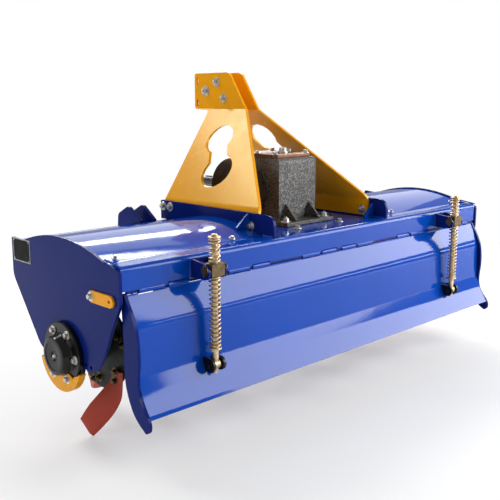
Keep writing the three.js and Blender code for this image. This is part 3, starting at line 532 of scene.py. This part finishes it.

# ---------- Gearbox ----------
# A grey-iron sand casting with a machined cover and two bearing caps, sprayed with thin black
# paint that leaves the sand grain showing. The cover is bare, oiled steel, tinted warm brown as a
# painted reflection of the yellow mast.
def painted_casting(name, dark, light, bump_mm):
    """Black paint on a sand casting: coarse grain, grey where the paint is thin."""
    made, tree, skin, place = start_material(name)
    # Moulding sand is 0.3 mm; it is drawn some thirteen times coarser so that it shows.
    sand = add_node(tree, "TexNoise", {
        "Vector": place, "Scale": 1000 / 4, "Detail": 3, "Roughness": 0.7})
    patch = add_node(tree, "TexNoise", {"Vector": place, "Scale": 1000 / 45, "Detail": 3})
    mixed = add_node(tree, "Math", {
        0: patch.outputs["Fac"], 1: 0.12, 2: sand.outputs["Fac"]}, operation="MULTIPLY_ADD")
    shades = add_node(tree, "ValToRGB", {"Fac": mixed.outputs[0]})
    set_shades(shades, linear(dark), linear(light), 0.53, 0.69)
    bump = add_node(tree, "Bump", {
        "Height": sand.outputs["Fac"], "Strength": 0.9, "Distance": bump_mm * MM})
    skin.inputs["Roughness"].default_value = 0.42
    tree.links.new(shades.outputs["Color"], skin.inputs["Base Color"])
    tree.links.new(bump.outputs["Normal"], skin.inputs["Normal"])
    return made


black_casting = painted_casting("black_painted_sand_cast_iron", "#0c0b0b", "#7f7d79", 2.0)
smooth_casting = painted_casting("black_painted_smooth_casting", "#100f10", "#2e2b29", 0.25)
# The cover's warm brown is a painted reflection of the yellow mast.
cover_steel_painted_reflection = plated_steel("oiled_steel_painted_mast_reflection", "#6a4d3c", 0.3, 2.5)
CAP_FACE_X = 89
CAP_SCREW_CIRCLE = 51
GEAR_MIDDLE_Y = 262
DRIVE_Z = 93
COVER_TOP = 200.3
COVER_SCREW_X = 66
COVER_SCREW_PITCH = 70
FILLER_PLUG = (12, 235)
FOOT_TOP = 12
FOOT_SCREW_X = 84
FOOT_SCREW_YS = (130, 395)
dress("gearbox", black_casting, 2.2)
dress("gearbox_cover", cover_steel_painted_reflection, 1.2)

caps = bmesh.new()
box_screws = bmesh.new()
for sign in (-1, 1):
    turned(caps, (sign * CAP_FACE_X, GEAR_MIDDLE_Y, DRIVE_Z), (sign, 0, 0),
           [(0, -2), (61, -2), (61, 1.5), (58, 3), (44, 3), (41, 6), (30, 6.5), (28, 4), (12, 4),
            (10, 7), (0, 7)], 56)
    for i in range(6):
        seat = around((GEAR_MIDDLE_Y, DRIVE_Z), CAP_SCREW_CIRCLE, math.radians(30 + 60 * i))
        hex_screw(caps, (sign * (CAP_FACE_X + 3), *seat), (sign, 0, 0), 10, 1.2, spin=i)
    for y in FOOT_SCREW_YS:
        hex_screw(box_screws, (sign * FOOT_SCREW_X, y, FOOT_TOP), (0, 0, 1), 15, 1.6, 4, spin=y)
    for y in (GEAR_MIDDLE_Y + step * COVER_SCREW_PITCH for step in (-1, 0, 1)):
        hex_screw(box_screws, (sign * COVER_SCREW_X, y, COVER_TOP), (0, 0, 1), 12, 1.2, spin=y)
turned(box_screws, (*FILLER_PLUG, COVER_TOP), (0, 0, 1),
       [(0, 0), (15, 0), (15, 4), (11, 5), (11, 14), (9, 16), (0, 16)], 24)
put("gearbox_bearing_caps", caps, smooth_casting, "frame")
put("gearbox_screws_and_filler", box_screws, bright_zinc, "frame")

# ---------- Drive-shaft guard and input shaft ----------
# The guard is a bell of black polyethylene, injection moulded with stiffening rings. The shaft
# is a hardened steel bar with six splines and a locking groove, oiled and otherwise bare.
def moulded(name, colour, roughness):
    """Moulded plastic with a fine even texture from the spark-eroded mould, drawn at 2 mm."""
    made, tree, skin, place = start_material(name)
    texture = add_node(tree, "TexVoronoi", {"Vector": place, "Scale": 1000 / 2})
    cloud = add_node(tree, "TexNoise", {"Vector": place, "Scale": 1000 / 40})
    base = linear(colour)
    shades = add_node(tree, "ValToRGB", {"Fac": cloud.outputs["Fac"]})
    set_shades(shades, scaled(base, 0.7), scaled(base, 1.5))
    bump = add_node(tree, "Bump", {
        "Height": texture.outputs["Distance"], "Strength": 0.3, "Distance": 0.3 * MM})
    skin.inputs["Roughness"].default_value = roughness
    tree.links.new(shades.outputs["Color"], skin.inputs["Base Color"])
    tree.links.new(bump.outputs["Normal"], skin.inputs["Normal"])
    return made


black_plastic = moulded("black_moulded_polyethylene", "#1a1818", 0.4)
GUARD_BACK_Y = 398
GUARD_LENGTH = 57
GUARD_THROAT = 46
GUARD_FLARE = 34
GUARD_WALL = 4
GUARD_BORE = 25.5
RING_PITCH = 19
RING_RISE = 1.6
guard = bmesh.new()
outer_skin = [(GUARD_THROAT + GUARD_FLARE * (y / GUARD_LENGTH)
               + (RING_RISE if 12 < y % RING_PITCH < 16 else 0), y)
              for y in range(GUARD_LENGTH + 1)]
inner_skin = [(GUARD_THROAT - GUARD_WALL + GUARD_FLARE * (y / GUARD_LENGTH),
               y + GUARD_WALL * (1 - y / GUARD_LENGTH)) for y in range(GUARD_LENGTH, -1, -3)]
turned(guard, (0, GUARD_BACK_Y, DRIVE_Z), (0, 1, 0),
       [(GUARD_BORE, 0), *outer_skin, *inner_skin, (GUARD_BORE, GUARD_WALL), (GUARD_BORE, 0)], 72)
put("drive_shaft_guard", guard, black_plastic, "frame", ("pto_guard",))

shaft_rings = []
shaft = bmesh.new()
SPLINES = 6
TIP = 17.4
ROOT = 14.6
GROOVE = 14.4
# Along the shaft: a place, and the radius at the splines' tips and roots there.
SHAFT_STEPS = ((371, TIP, TIP), (430, TIP, TIP), (434, TIP, ROOT), (536, TIP, ROOT),
               (537.5, GROOVE, GROOVE), (544.5, GROOVE, GROOVE), (546, TIP, ROOT), (573, TIP, ROOT),
               (575, 15.4, 13.6))
for y, tip, root in SHAFT_STEPS:
    ring = []
    for i in range(SPLINES):
        for turn, radius in ((-15, root), (-10, root), (-8.5, tip), (0, tip), (8.5, tip),
                             (10, root), (15, root), (30, root)):
            angle = math.radians(360 / SPLINES * i + turn)
            x, z = radius * math.sin(angle), DRIVE_Z + radius * math.cos(angle)
            ring.append(shaft.verts.new(spot(x, y, z)))
    shaft_rings.append(ring)
skin_rings(shaft, shaft_rings)
ground_steel = plated_steel("oiled_hardened_steel", "#5a5959", 0.3, 1.2)
put("splined_input_shaft", shaft, ground_steel, "input", ("input_shaft",))

# ---------- Centre drive case ----------
# The cast case under the deck that carries the chain down to the rotor, bolted up to the deck.
dress("drive_case", black_casting, 3)
case_screws = bmesh.new()
ROTOR_AXIS = (232, -248)
CASE_FACE_X = 45
CASE_SCREW_CIRCLE = 76
for sign in (-1, 1):
    turned(case_screws, (sign * CASE_FACE_X, *ROTOR_AXIS), (sign, 0, 0),
           [(38, -1), (62, -1), (62, 2.5), (59, 3.5), (38, 3.5), (38, -1)], 48)
    for i in range(8):
        seat = around(ROTOR_AXIS, CASE_SCREW_CIRCLE, math.radians(45 * i + 22))
        hex_screw(case_screws, (sign * CASE_FACE_X, *seat), (sign, 0, 0), 10, 1.2, spin=i)
put("drive_case_screws", case_screws, bright_zinc, "frame")

# ---------- Hub bearings, hub guards and flap latches ----------
# Each rotor end turns in a cast flange bearing in gloss black, held by six screws. A yellow
# crescent shields it from below, and a yellow catch on the side plate holds the flap up.
gloss_black = enamel("gloss_black_enamel", "#100e0e", 0.16)
HUB_START = 750.3
HUB_FACE = 764.3
HUB_SCREW_CIRCLE = 63
GUARD_ON_HUB = 4.4
CATCH_FACE_X = 756.3
CATCH_PIVOT = (102, -81)
CATCH_HOLE = (30, -81)
hub_screws = bmesh.new()
for side, sign in SIDES:
    hub = bmesh.new()
    turned(hub, (sign * HUB_START, *ROTOR_AXIS), (sign, 0, 0), [
        (20.6, 0), (79, 0), (80, 1.5), (80, 11), (77.5, 14), (57, 14), (52.5, 16.5), (49.5, 24),
        (48.5, 31), (46, 35), (42, 36.3), (36, 36.3), (34.5, 34.5), (14, 33.2), (11, 31), (9, 29.5),
        (0, 29.5), (0, 24.7), (20.6, 24.7), (20.6, 0)], 72)
    put(f"bearing_hub_{side}_turned", hub, gloss_black, "frame",
        (f"bearing_hub_{side}",))
    for i in range(6):
        angle = math.radians(60 * i)
        lift = GUARD_ON_HUB if math.sin(angle) < -0.3 else 0
        at = (sign * (HUB_FACE + lift), *around(ROTOR_AXIS, HUB_SCREW_CIRCLE, angle))
        hex_screw(hub_screws, at, (sign, 0, 0), 11.5, 1.2, spin=i)
    # The grease nipple stands in the middle of the hub's cap.
    turned(hub_screws, (sign * (HUB_START + 29), *ROTOR_AXIS), (sign, 0, 0),
           [(0, 0), (4.5, 0), (4.5, 3), (2.6, 4), (2.4, 5), (3.2, 6), (2.2, 7), (0, 7)], 16)
    hex_screw(hub_screws, (sign * CATCH_FACE_X, *CATCH_PIVOT), (sign, 0, 0), 12, 1.2)
    dress(f"hub_guard_{side}", yellow_enamel, 1)
    catch_hole = [((sign * (CATCH_FACE_X - 3.3), *CATCH_HOLE), 4, 20)]
    dress(f"flap_latch_{side}", yellow_enamel, 1, catch_hole)
put("hub_and_latch_screws", hub_screws, bright_zinc, "frame")

# ---------- Blank label plate ----------
# A thin black plate with a pale border, riveted to the left side plate at its corners.
label = bmesh.new()
border = bmesh.new()
LABEL_Y = (385, 472)
LABEL_Z = (-52, 8)
LABEL_X = -750
LABEL_BORDER = 3
RIVET_INSET = 6


def label_sheet(bm, inset, near, far):
    """A sheet of the label's outline, drawn in by an inset, between two places along X."""
    corners = [(LABEL_Y[0] + inset, LABEL_Z[0] + inset), (LABEL_Y[1] - inset, LABEL_Z[0] + inset),
               (LABEL_Y[1] - inset, LABEL_Z[1] - inset), (LABEL_Y[0] + inset, LABEL_Z[1] - inset)]
    plate(bm, [spot(near, y, z) for y, z in corners], Vector(((far - near) * MM, 0, 0)))


label_sheet(border, 0, LABEL_X + 0.1, LABEL_X - 0.6)
label_sheet(label, LABEL_BORDER, LABEL_X - 0.4, LABEL_X - 0.9)
for y in (LABEL_Y[0] + RIVET_INSET, LABEL_Y[1] - RIVET_INSET):
    for z in (LABEL_Z[0] + RIVET_INSET, LABEL_Z[1] - RIVET_INSET):
        turned(border, (LABEL_X, y, z), (-1, 0, 0), [(0, 0), (2.6, 0.6), (2.2, 1.6), (0, 2.2)], 14)
brushed_aluminium = plated_steel("brushed_aluminium", "#b0b0ae", 0.45, 1.0)
put("label_plate_border", border, brushed_aluminium, "frame")
label_black = enamel("printed_black", "#0d0c0c", 0.5, 0.12)
put("label_plate_blank", label, label_black, "frame")

# ---------- Rear flap ----------
# One 3 mm sheet folded along its length, with knuckles on the hinge rod, laser-cut end strips
# welded to its ends and black ears on its back for the spring rods.
def eased(points, steps=5, closed=False):
    """An outline whose corners, given as (a, b, cut-back), are rounded."""
    made = []
    for i, (a, b, *back) in enumerate(points):
        corner = Vector((a, b))
        if not back or (not closed and i in (0, len(points) - 1)):
            made.append(corner)
            continue
        start, end = (corner + (Vector(points[k % len(points)][:2]) - corner).normalized() * back[0]
                      for k in (i - 1, i + 1))
        for k in range(steps + 1):
            t = k / steps
            made.append(start * (1 - t) ** 2 + corner * 2 * t * (1 - t) + end * t * t)
    return made


def folded_sheet(bm, line, thickness, x_from, x_to):
    """A folded sheet: a line of (y, z) drawn along X, with its other face to the line's left."""
    offset = []
    for i, point in enumerate(line):
        ahead = (line[min(i + 1, len(line) - 1)] - line[max(i - 1, 0)]).normalized()
        offset.append(point + Vector((-ahead.y, ahead.x)) * thickness)
    section = list(line) + offset[::-1]
    return plate(bm, [spot(x_from, *p) for p in section], Vector(((x_to - x_from) * MM, 0, 0)))


FLAP_HALF = 726.7
FLAP_SHEET = 3
HINGE = (5.5, -61)
flap_line = eased([
    (1.5, -68.5), (-14, -98, 12), (-27, -134, 16), (-30.2, -204, 30),
    (-31, -248.5, 2), (-46, -289.5, 10), (-59.8, -313.5, 10), (-69, -327.5, 2), (-74.5, -334.5)])
flap = bmesh.new()
folded_sheet(flap, flap_line, FLAP_SHEET, -FLAP_HALF, FLAP_HALF)
BEAM_KNUCKLE_MIDDLES = (660, 390, 120)
BEAM_KNUCKLE_HALF = 37
FLAP_KNUCKLE_IN = 47
# Between the beam's knuckles the sheet's edge is turned up close under the hinge rod.
turned_up = [(1.6, -69), (4.4, -69.5), (4.4, -65.6), (1.6, -64.6)]
knuckle_ends = sorted(sign * x + end * BEAM_KNUCKLE_HALF
                      for x in BEAM_KNUCKLE_MIDDLES for sign in (-1, 1) for end in (-1, 1))
stops = [-FLAP_HALF, *knuckle_ends, FLAP_HALF]
for x_from, x_to in zip(stops[::2], stops[1::2]):
    plate(flap, [spot(x_from, y, z) for y, z in turned_up], Vector(((x_to - x_from) * MM, 0, 0)))
for x in BEAM_KNUCKLE_MIDDLES:
    for sign in (-1, 1):
        turned(flap, (sign * (x - FLAP_KNUCKLE_IN), *HINGE), (-sign, 0, 0),
               [(4.6, 0), (6.6, 0), (7, 0.5), (7, 59.5), (6.6, 60), (4.6, 60), (4.6, 0)], 28)
put("flap_sheet_folded", flap, blue_enamel, "flap", ("flap_panel",), 24)
STRIP_INNER_X = 727
STRIP_OUTER_X = 735
end_strip = eased([
    (1, -66, 2), (3, -61, 2), (-10, -84, 10), (-23, -105, 10), (-36, -134, 10), (-42, -171, 14),
    (-43, -212, 14), (-39, -240, 12), (-38, -268, 12), (-43, -291, 10), (-58, -313, 8),
    (-74, -331, 8), (-80, -347, 7), (-76, -362, 7), (-65, -367, 5), (-57, -361, 5),
    (-40, -351, 12), (-21, -334, 14), (-4, -303, 16), (7, -270, 14), (9, -214, 20),
    (9, -159, 20), (13, -96, 12), (10, -70, 5), (9, -61, 2)], closed=True)
for side, sign in SIDES:
    strip = bmesh.new()
    plate(strip, [spot(sign * STRIP_INNER_X, y, z) for y, z in end_strip],
          Vector((sign * (STRIP_OUTER_X - STRIP_INNER_X) * MM, 0, 0)))
    ease_edges(strip, 1.6, 60)
    put(f"flap_end_{side}_cut", strip, blue_enamel_painted_shade, "flap", (f"flap_end_{side}",))

# The hinge rod takes the painted-shade blue, so that the gap along the hinge reads dark.
hinge_rod = bmesh.new()
hinge_length = 2 * FLAP_HALF
turned(hinge_rod, (-FLAP_HALF, *HINGE), (1, 0, 0),
       [(0, 0), (3.4, 0), (4, 0.6), (4, hinge_length - 0.6), (3.4, hinge_length),
        (0, hinge_length)], 24)
put("hinge_rod_painted_shade", hinge_rod, blue_enamel_painted_shade, "frame", ("hinge_rod",))

satin_black = enamel("satin_black_enamel", "#121113", 0.32)
ROD_X = 520
ROD_Y = -54
EYE_Z = -260
EAR_RADIUS = 17
EAR_HOLE = 10.5
EAR_SHEET = 8
rounding = [around((ROD_Y, EYE_Z), EAR_RADIUS, math.radians(90 + 15 * k)) for k in range(13)]
ear = rounding + [(-37, EYE_Z - EAR_RADIUS), (-32, EYE_Z + EAR_RADIUS)]
ears = bmesh.new()
for sign in (-1, 1):
    for near in (-20, 12):
        plate(ears, [spot(sign * ROD_X + near, y, z) for y, z in ear],
              Vector((EAR_SHEET * MM, 0, 0)))
ears = drill(ears, [((sign * ROD_X, ROD_Y, EYE_Z), EAR_HOLE, 60) for sign in (-1, 1)])
ease_edges(ears, 0.8)
put("flap_ears", ears, satin_black, "flap")

# ---------- Spring rods ----------
# A 16 mm rod in yellow-passivated zinc slides in a swivel block on the beam. Its long spring
# presses the flap down and its short one cushions the return; both are coiled from 4.4 mm wire.
yellow_zinc = plated_steel("yellow_passivated_zinc", "#d9c19a", 0.42, 1.5)
dull_zinc = plated_steel("dull_yellow_passivated_zinc", "#68593f", 0.45, 1.5)
SWIVEL_Z = -30
SWIVEL_HALF = 15
ROD_TOP = 53
LOWER_SEAT = -218
WIRE = 2.2
COIL = 12.1
UPPER_TURNS = 6
LOWER_TURNS = 17
SEAT_GAP = 0.4
WASHER_FACE_X = 29.3
COTTER_X = 33.2
THREAD_RIDGES = 36
THREAD_CREST = 7.9
THREAD_ROOT = 6.9


def coil(bm, x, low, high, turns, steps=26):
    """A compression spring with a closed turn at each end."""
    rise = high - low - 2 * WIRE
    flat = 2 * WIRE
    path = []
    for i in range(turns * steps + 1):
        turn = i / steps
        if turn < 1:
            climb = turn * flat
        elif turn > turns - 1:
            climb = rise - (turns - turn) * flat
        else:
            climb = flat + (turn - 1) / (turns - 2) * (rise - 2 * flat)
        angle = 2 * math.pi * turn
        path.append(spot(x + COIL * math.cos(angle), ROD_Y + COIL * math.sin(angle),
                         low + WIRE + climb))
    return tube(bm, path, WIRE, 9)


for side, sign in SIDES:
    x = sign * ROD_X
    dress(f"rod_bracket_{side}", blue_enamel_painted_shade, 1.2)
    dress(f"rod_swivel_{side}", dull_zinc, 1.4)

    swivel_trim = bmesh.new()
    for end in (-1, 1):
        turned(swivel_trim, (x + end * WASHER_FACE_X, ROD_Y, SWIVEL_Z), (end, 0, 0),
               [(8.2, 0), (12, 0), (12, 2), (8.2, 2), (8.2, 0)], 28)
        tube(swivel_trim, [spot(x + end * COTTER_X, ROD_Y, SWIVEL_Z + a) for a in (-13, 0, 13)],
             1.3, 8)
    put(f"swivel_washers_{side}", swivel_trim, dull_zinc, f"swivel_{side}")

    upper = bmesh.new()
    coil(upper, x, SWIVEL_Z + SWIVEL_HALF + SEAT_GAP, ROD_TOP - 8 - SEAT_GAP, UPPER_TURNS)
    put(f"upper_coil_{side}", upper, yellow_zinc, f"swivel_{side}",
        (f"upper_spring_{side}",))

    lower = bmesh.new()
    coil(lower, x, LOWER_SEAT + SEAT_GAP, SWIVEL_Z - SWIVEL_HALF - SEAT_GAP, LOWER_TURNS)
    lower_coil = put(f"lower_coil_{side}", lower, yellow_zinc, f"rod_{side}",
                     (f"lower_spring_{side}",))
    # Lifting the flap pushes the rod up, and its collar shortens the spring against the swivel.
    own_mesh(lower_coil)

    rod = bmesh.new()
    smooth_end = ROD_TOP - EYE_Z
    # The thread's real pitch is 2 mm; it is drawn at 2.5 mm so that it shows.
    profile = [(0, 0), (6.4, 0), (7.2, 1.2)]
    profile += [(THREAD_CREST if i % 2 else THREAD_ROOT, 1.5 + i * 1.25)
                for i in range(THREAD_RIDGES)]
    profile += [(THREAD_CREST, 48), (THREAD_CREST, smooth_end), (0, smooth_end)]
    turned(rod, (x, ROD_Y, ROD_TOP), (0, 0, -1), profile, 28)
    hex_screw(rod, (x, ROD_Y, ROD_TOP - 8), (0, 0, 1), 11.5, 0)
    turned(rod, (x, ROD_Y, ROD_TOP - 8), (0, 0, 1),
           [(8, 0), (15, 0), (15.5, 1), (15, 2.4), (8, 2.4), (8, 0)], 32)
    turned(rod, (x, ROD_Y, LOWER_SEAT - 4), (0, 0, 1),
           [(8, 0), (15.6, 0), (16, 1), (16, 3), (15.4, 4), (8, 4), (8, 0)], 32)
    tube(rod, [spot(x + a, ROD_Y, LOWER_SEAT - 8) for a in (-13, 0, 13)], 1.8, 8)
    turned(rod, (x - 9, ROD_Y, EYE_Z), (1, 0, 0),
           [(0, 0), (10, 0), (11, 1), (11, 17), (10, 18), (0, 18)], 28)
    turned(rod, (x, ROD_Y, EYE_Z + 2), (0, 0, -1),
           [(0, 0), (6.8, 0), (6.8, 22), (5.6, 24), (0, 24)], 24)
    put(f"spring_rod_{side}_threaded", rod, yellow_zinc, f"rod_{side}",
        (f"spring_rod_{side}",))

    pin = bmesh.new()
    turned(pin, (x - 26, ROD_Y, EYE_Z), (1, 0, 0),
           [(0, 0), (5, 0), (6, 1), (6, 51), (5, 52), (0, 52)], 24)
    for end in (-1, 1):
        turned(pin, (x + end * 21, ROD_Y, EYE_Z), (end, 0, 0),
               [(6, 0), (11.5, 0), (11.5, 1.8), (6, 1.8), (6, 0)], 28)
    put(f"rod_eye_pin_{side}", pin, satin_black, f"rod_{side}")

# ---------- Rotor ----------
# Two half shafts of thick tube in satin black carry three flanges each, in dark green primer.
# Six forged blades are bolted to every flange, half thrown left and half right, and red.
satin_red = enamel("satin_red_stoving_paint", "#ab3f2c", 0.45)
green_primer = enamel("dark_green_primer", "#0c1f17", 0.5)
SHAFT_RADIUS = 35
FLANGE_RADIUS = 115
FLANGE_HALF = 4
BLADE_REACH = 220
BLADE_WIDTH = 62
BLADE_THICK = 8
BLADE_THROW = 60
BLADES = 6
BLADE_ROOT = 90
BLADE_SEAT_DEPTH = 0.5
BLADE_SCREW_PLACES = (0.02, 0.17)
STANCE = 10
RING_STEP = 20
THROW_FROM = 18
THROW_TO = 56


def leg(degrees, length):
    """A step of a length in a direction, in the blade's own plane."""
    return Vector((math.cos(math.radians(degrees)), math.sin(math.radians(degrees)))) * length


def blade_path(t):
    """Place and heading of the blade's middle line, from its root at 0 to its tip at 1."""
    tip = leg(52, BLADE_REACH - 25)
    root = leg(0, BLADE_ROOT)
    leave = root + leg(60, 55)
    arrive = tip - leg(101, 45)
    back = 1 - t
    place = root * back ** 3 + leave * 3 * back ** 2 * t + arrive * 3 * back * t ** 2 + tip * t ** 3
    heading = ((leave - root) * back ** 2 + (arrive - leave) * 2 * back * t
               + (tip - arrive) * t ** 2)
    return place, heading.normalized()


def blade_point(t, across):
    """A point of the blade: how far along it, and from -1 to 1 across its width."""
    place, heading = blade_path(t)
    full = 0.62 + 0.24 * min(1, t / 0.6)  # forged narrower towards the root
    return place + Vector((heading.y, -heading.x)) * across * full * BLADE_WIDTH / 2


BLADE_STEPS = 30
# The blade is scaled so that its furthest corner sweeps the rotor's full radius.
furthest = max((blade_point(k / BLADE_STEPS, edge) for k in range(BLADE_STEPS + 1)
                for edge in (-1, 1)), key=lambda point: point.length)
BLADE_FIT = BLADE_REACH / furthest.length
CORNER_ANGLE = math.atan2(furthest.y, furthest.x)
# Across the blade: the back edge, the flat and the bevel that thins to the cutting edge.
BLADE_SECTION = ((-1, 0.6, 7.4), (-0.96, 0, 8), (0.62, 0, 8), (1, 2.8, 5.2))


def blade_set(point):
    """Sideways throw of the blade at a point, in millimetres."""
    angle = math.degrees(math.atan2(point.y, point.x))
    t = min(1, max(0, (angle - THROW_FROM) / (THROW_TO - THROW_FROM)))
    return BLADE_THROW * t * t * (3 - 2 * t)


def add_blade(bm, x, turn, hand):
    """One blade on a flange at x, turned about the rotor and thrown to a hand, -1 or 1."""
    rings = []
    for k in range(BLADE_STEPS + 1):
        lows, highs = [], []
        for across, low, high in BLADE_SECTION:
            point = blade_point(k / BLADE_STEPS, across) * BLADE_FIT
            at = around(ROTOR_AXIS, point.length, math.atan2(point.y, point.x) + turn)
            shift = blade_set(point) + FLANGE_HALF - BLADE_SEAT_DEPTH
            lows.append(bm.verts.new(spot(x + hand * (shift + low), *at)))
            highs.append(bm.verts.new(spot(x + hand * (shift + high), *at)))
        rings.append(lows + highs[::-1])
    skin_rings(bm, rings)


blade_screws = bmesh.new()
RING_XS = (200, 424, 648)
for side, sign in SIDES:
    shaft_tube = bmesh.new()
    turned(shaft_tube, (0, *ROTOR_AXIS), (sign, 0, 0),
           [(0, 19), (24, 19), (25, 20), (25, 50), (SHAFT_RADIUS - 1, 50), (SHAFT_RADIUS, 51),
            (SHAFT_RADIUS, 736), (SHAFT_RADIUS - 1, 737), (20, 737), (20, 772.7), (0, 772.7)], 56)
    put(f"rotor_shaft_{side}_tube", shaft_tube, satin_black, "rotor",
        (f"rotor_shaft_{side}",))
    for i, ring_x in enumerate(RING_XS):
        flange = bmesh.new()
        turned(flange, (sign * ring_x, *ROTOR_AXIS), (1, 0, 0),
               [(SHAFT_RADIUS + 0.2, -FLANGE_HALF), (FLANGE_RADIUS - 1, -FLANGE_HALF),
                (FLANGE_RADIUS, -FLANGE_HALF + 1), (FLANGE_RADIUS, FLANGE_HALF - 1),
                (FLANGE_RADIUS - 1, FLANGE_HALF), (SHAFT_RADIUS + 0.2, FLANGE_HALF),
                (SHAFT_RADIUS + 0.2, -FLANGE_HALF)], 72)
        for face in (-1, 1):
            turned(flange, (sign * ring_x + face * FLANGE_HALF, *ROTOR_AXIS), (face, 0, 0),
                   [(SHAFT_RADIUS, -1), (SHAFT_RADIUS + 5, -1), (SHAFT_RADIUS + 4.5, 2),
                    (SHAFT_RADIUS + 2, 4), (SHAFT_RADIUS, 4.5), (SHAFT_RADIUS, -1)], 48)
        put(f"rotor_flange_{i + 1}_{side}", flange, green_primer, "rotor")
        blades = bmesh.new()
        first = math.radians(270 - STANCE + RING_STEP * (2 - i)) - CORNER_ANGLE
        for k in range(BLADES):
            hand = sign * (-1 if k % 2 else 1)
            turn = first + math.radians(360 / BLADES) * k
            add_blade(blades, sign * ring_x, turn, hand)
            for t in BLADE_SCREW_PLACES:
                seat = blade_point(t, -0.25) * BLADE_FIT
                at = around(ROTOR_AXIS, seat.length, math.atan2(seat.y, seat.x) + turn)
                head_x = hand * (FLANGE_HALF - BLADE_SEAT_DEPTH + BLADE_THICK + blade_set(seat))
                nut_x = -hand * FLANGE_HALF
                hex_screw(blade_screws, (sign * ring_x + head_x, *at), (hand, 0, 0), 13, 1.2)
                hex_screw(blade_screws, (sign * ring_x + nut_x, *at), (-hand, 0, 0), 13, 1.2, 4)
        put(f"blades_{i + 1}_{side}", blades, satin_red, "rotor",
            (f"blade_ring_{i + 1}_{side}",), 40)
put("blade_screws", blade_screws, dull_zinc, "rotor")

# ---------- Lower hitch clevises and pins ----------
# Pairs of 10 mm blue plates welded to the front beam take the tractor's lower links on 22 mm
# pins, each kept in by a spring linch pin.
HITCH_PIN_START_X = 303
HITCH_PIN = (530, -62)
LINCH_X = 307
for side, sign in SIDES:
    dress(f"lower_hitch_bracket_{side}", blue_enamel_painted_shade, 1.2)
    hitch_pin = bmesh.new()
    turned(hitch_pin, (sign * HITCH_PIN_START_X, *HITCH_PIN), (sign, 0, 0),
           [(0, 0), (8.5, 0), (11, 3), (11, 69.5), (16, 69.5), (17, 70.5), (17, 75.5), (16, 76.5),
            (10, 77), (9, 80), (0, 80)], 36)
    put(f"hitch_pin_{side}_turned", hitch_pin, bright_zinc, "frame",
        (f"lower_hitch_pin_{side}",))
    linch = bmesh.new()
    loop = [spot(sign * LINCH_X, HITCH_PIN[0] + 15 * math.sin(a), HITCH_PIN[1] + 14 * math.cos(a))
            for a in (math.radians(10 * k) for k in range(4, 33))]
    tube(linch, loop, 1.5, 8)
    tube(linch, [spot(sign * LINCH_X, HITCH_PIN[0], HITCH_PIN[1] + a) for a in (-15, 0, 16)], 2.6)
    put(f"linch_pin_{side}", linch, yellow_zinc, "frame")

# ---------- Parking stand ----------
# A 40 mm square tube with a row of holes and a welded foot, in yellow enamel. It slides in a
# blue socket on the front beam and a cross pin holds its height.
STAND_X = 440
dress("stand_socket", blue_enamel, 1.2)
STAND_HOLE_ZS = range(-140, -420, -45)
STAND_PIN_Z = -43
stand_y = (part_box("stand_socket")[0].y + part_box("stand_socket")[1].y) / 2 / MM - BEAM_BACK / MM
stand_holes = [((STAND_X, stand_y, z), 6, 60) for z in STAND_HOLE_ZS]
dress("parking_stand", yellow_enamel, 1.5, stand_holes)
stand_pin = bmesh.new()
turned(stand_pin, (STAND_X - 36, stand_y, STAND_PIN_Z), (1, 0, 0),
       [(0, 0), (4, 0), (5, 1.5), (5, 9), (0, 9)], 20)
turned(stand_pin, (STAND_X + 25.2, stand_y, STAND_PIN_Z), (1, 0, 0),
       [(0, 0), (9, 0), (9, 2), (5, 2), (5, 9), (4, 10), (0, 10)], 20)
put("stand_cross_pin", stand_pin, bright_zinc, "frame")
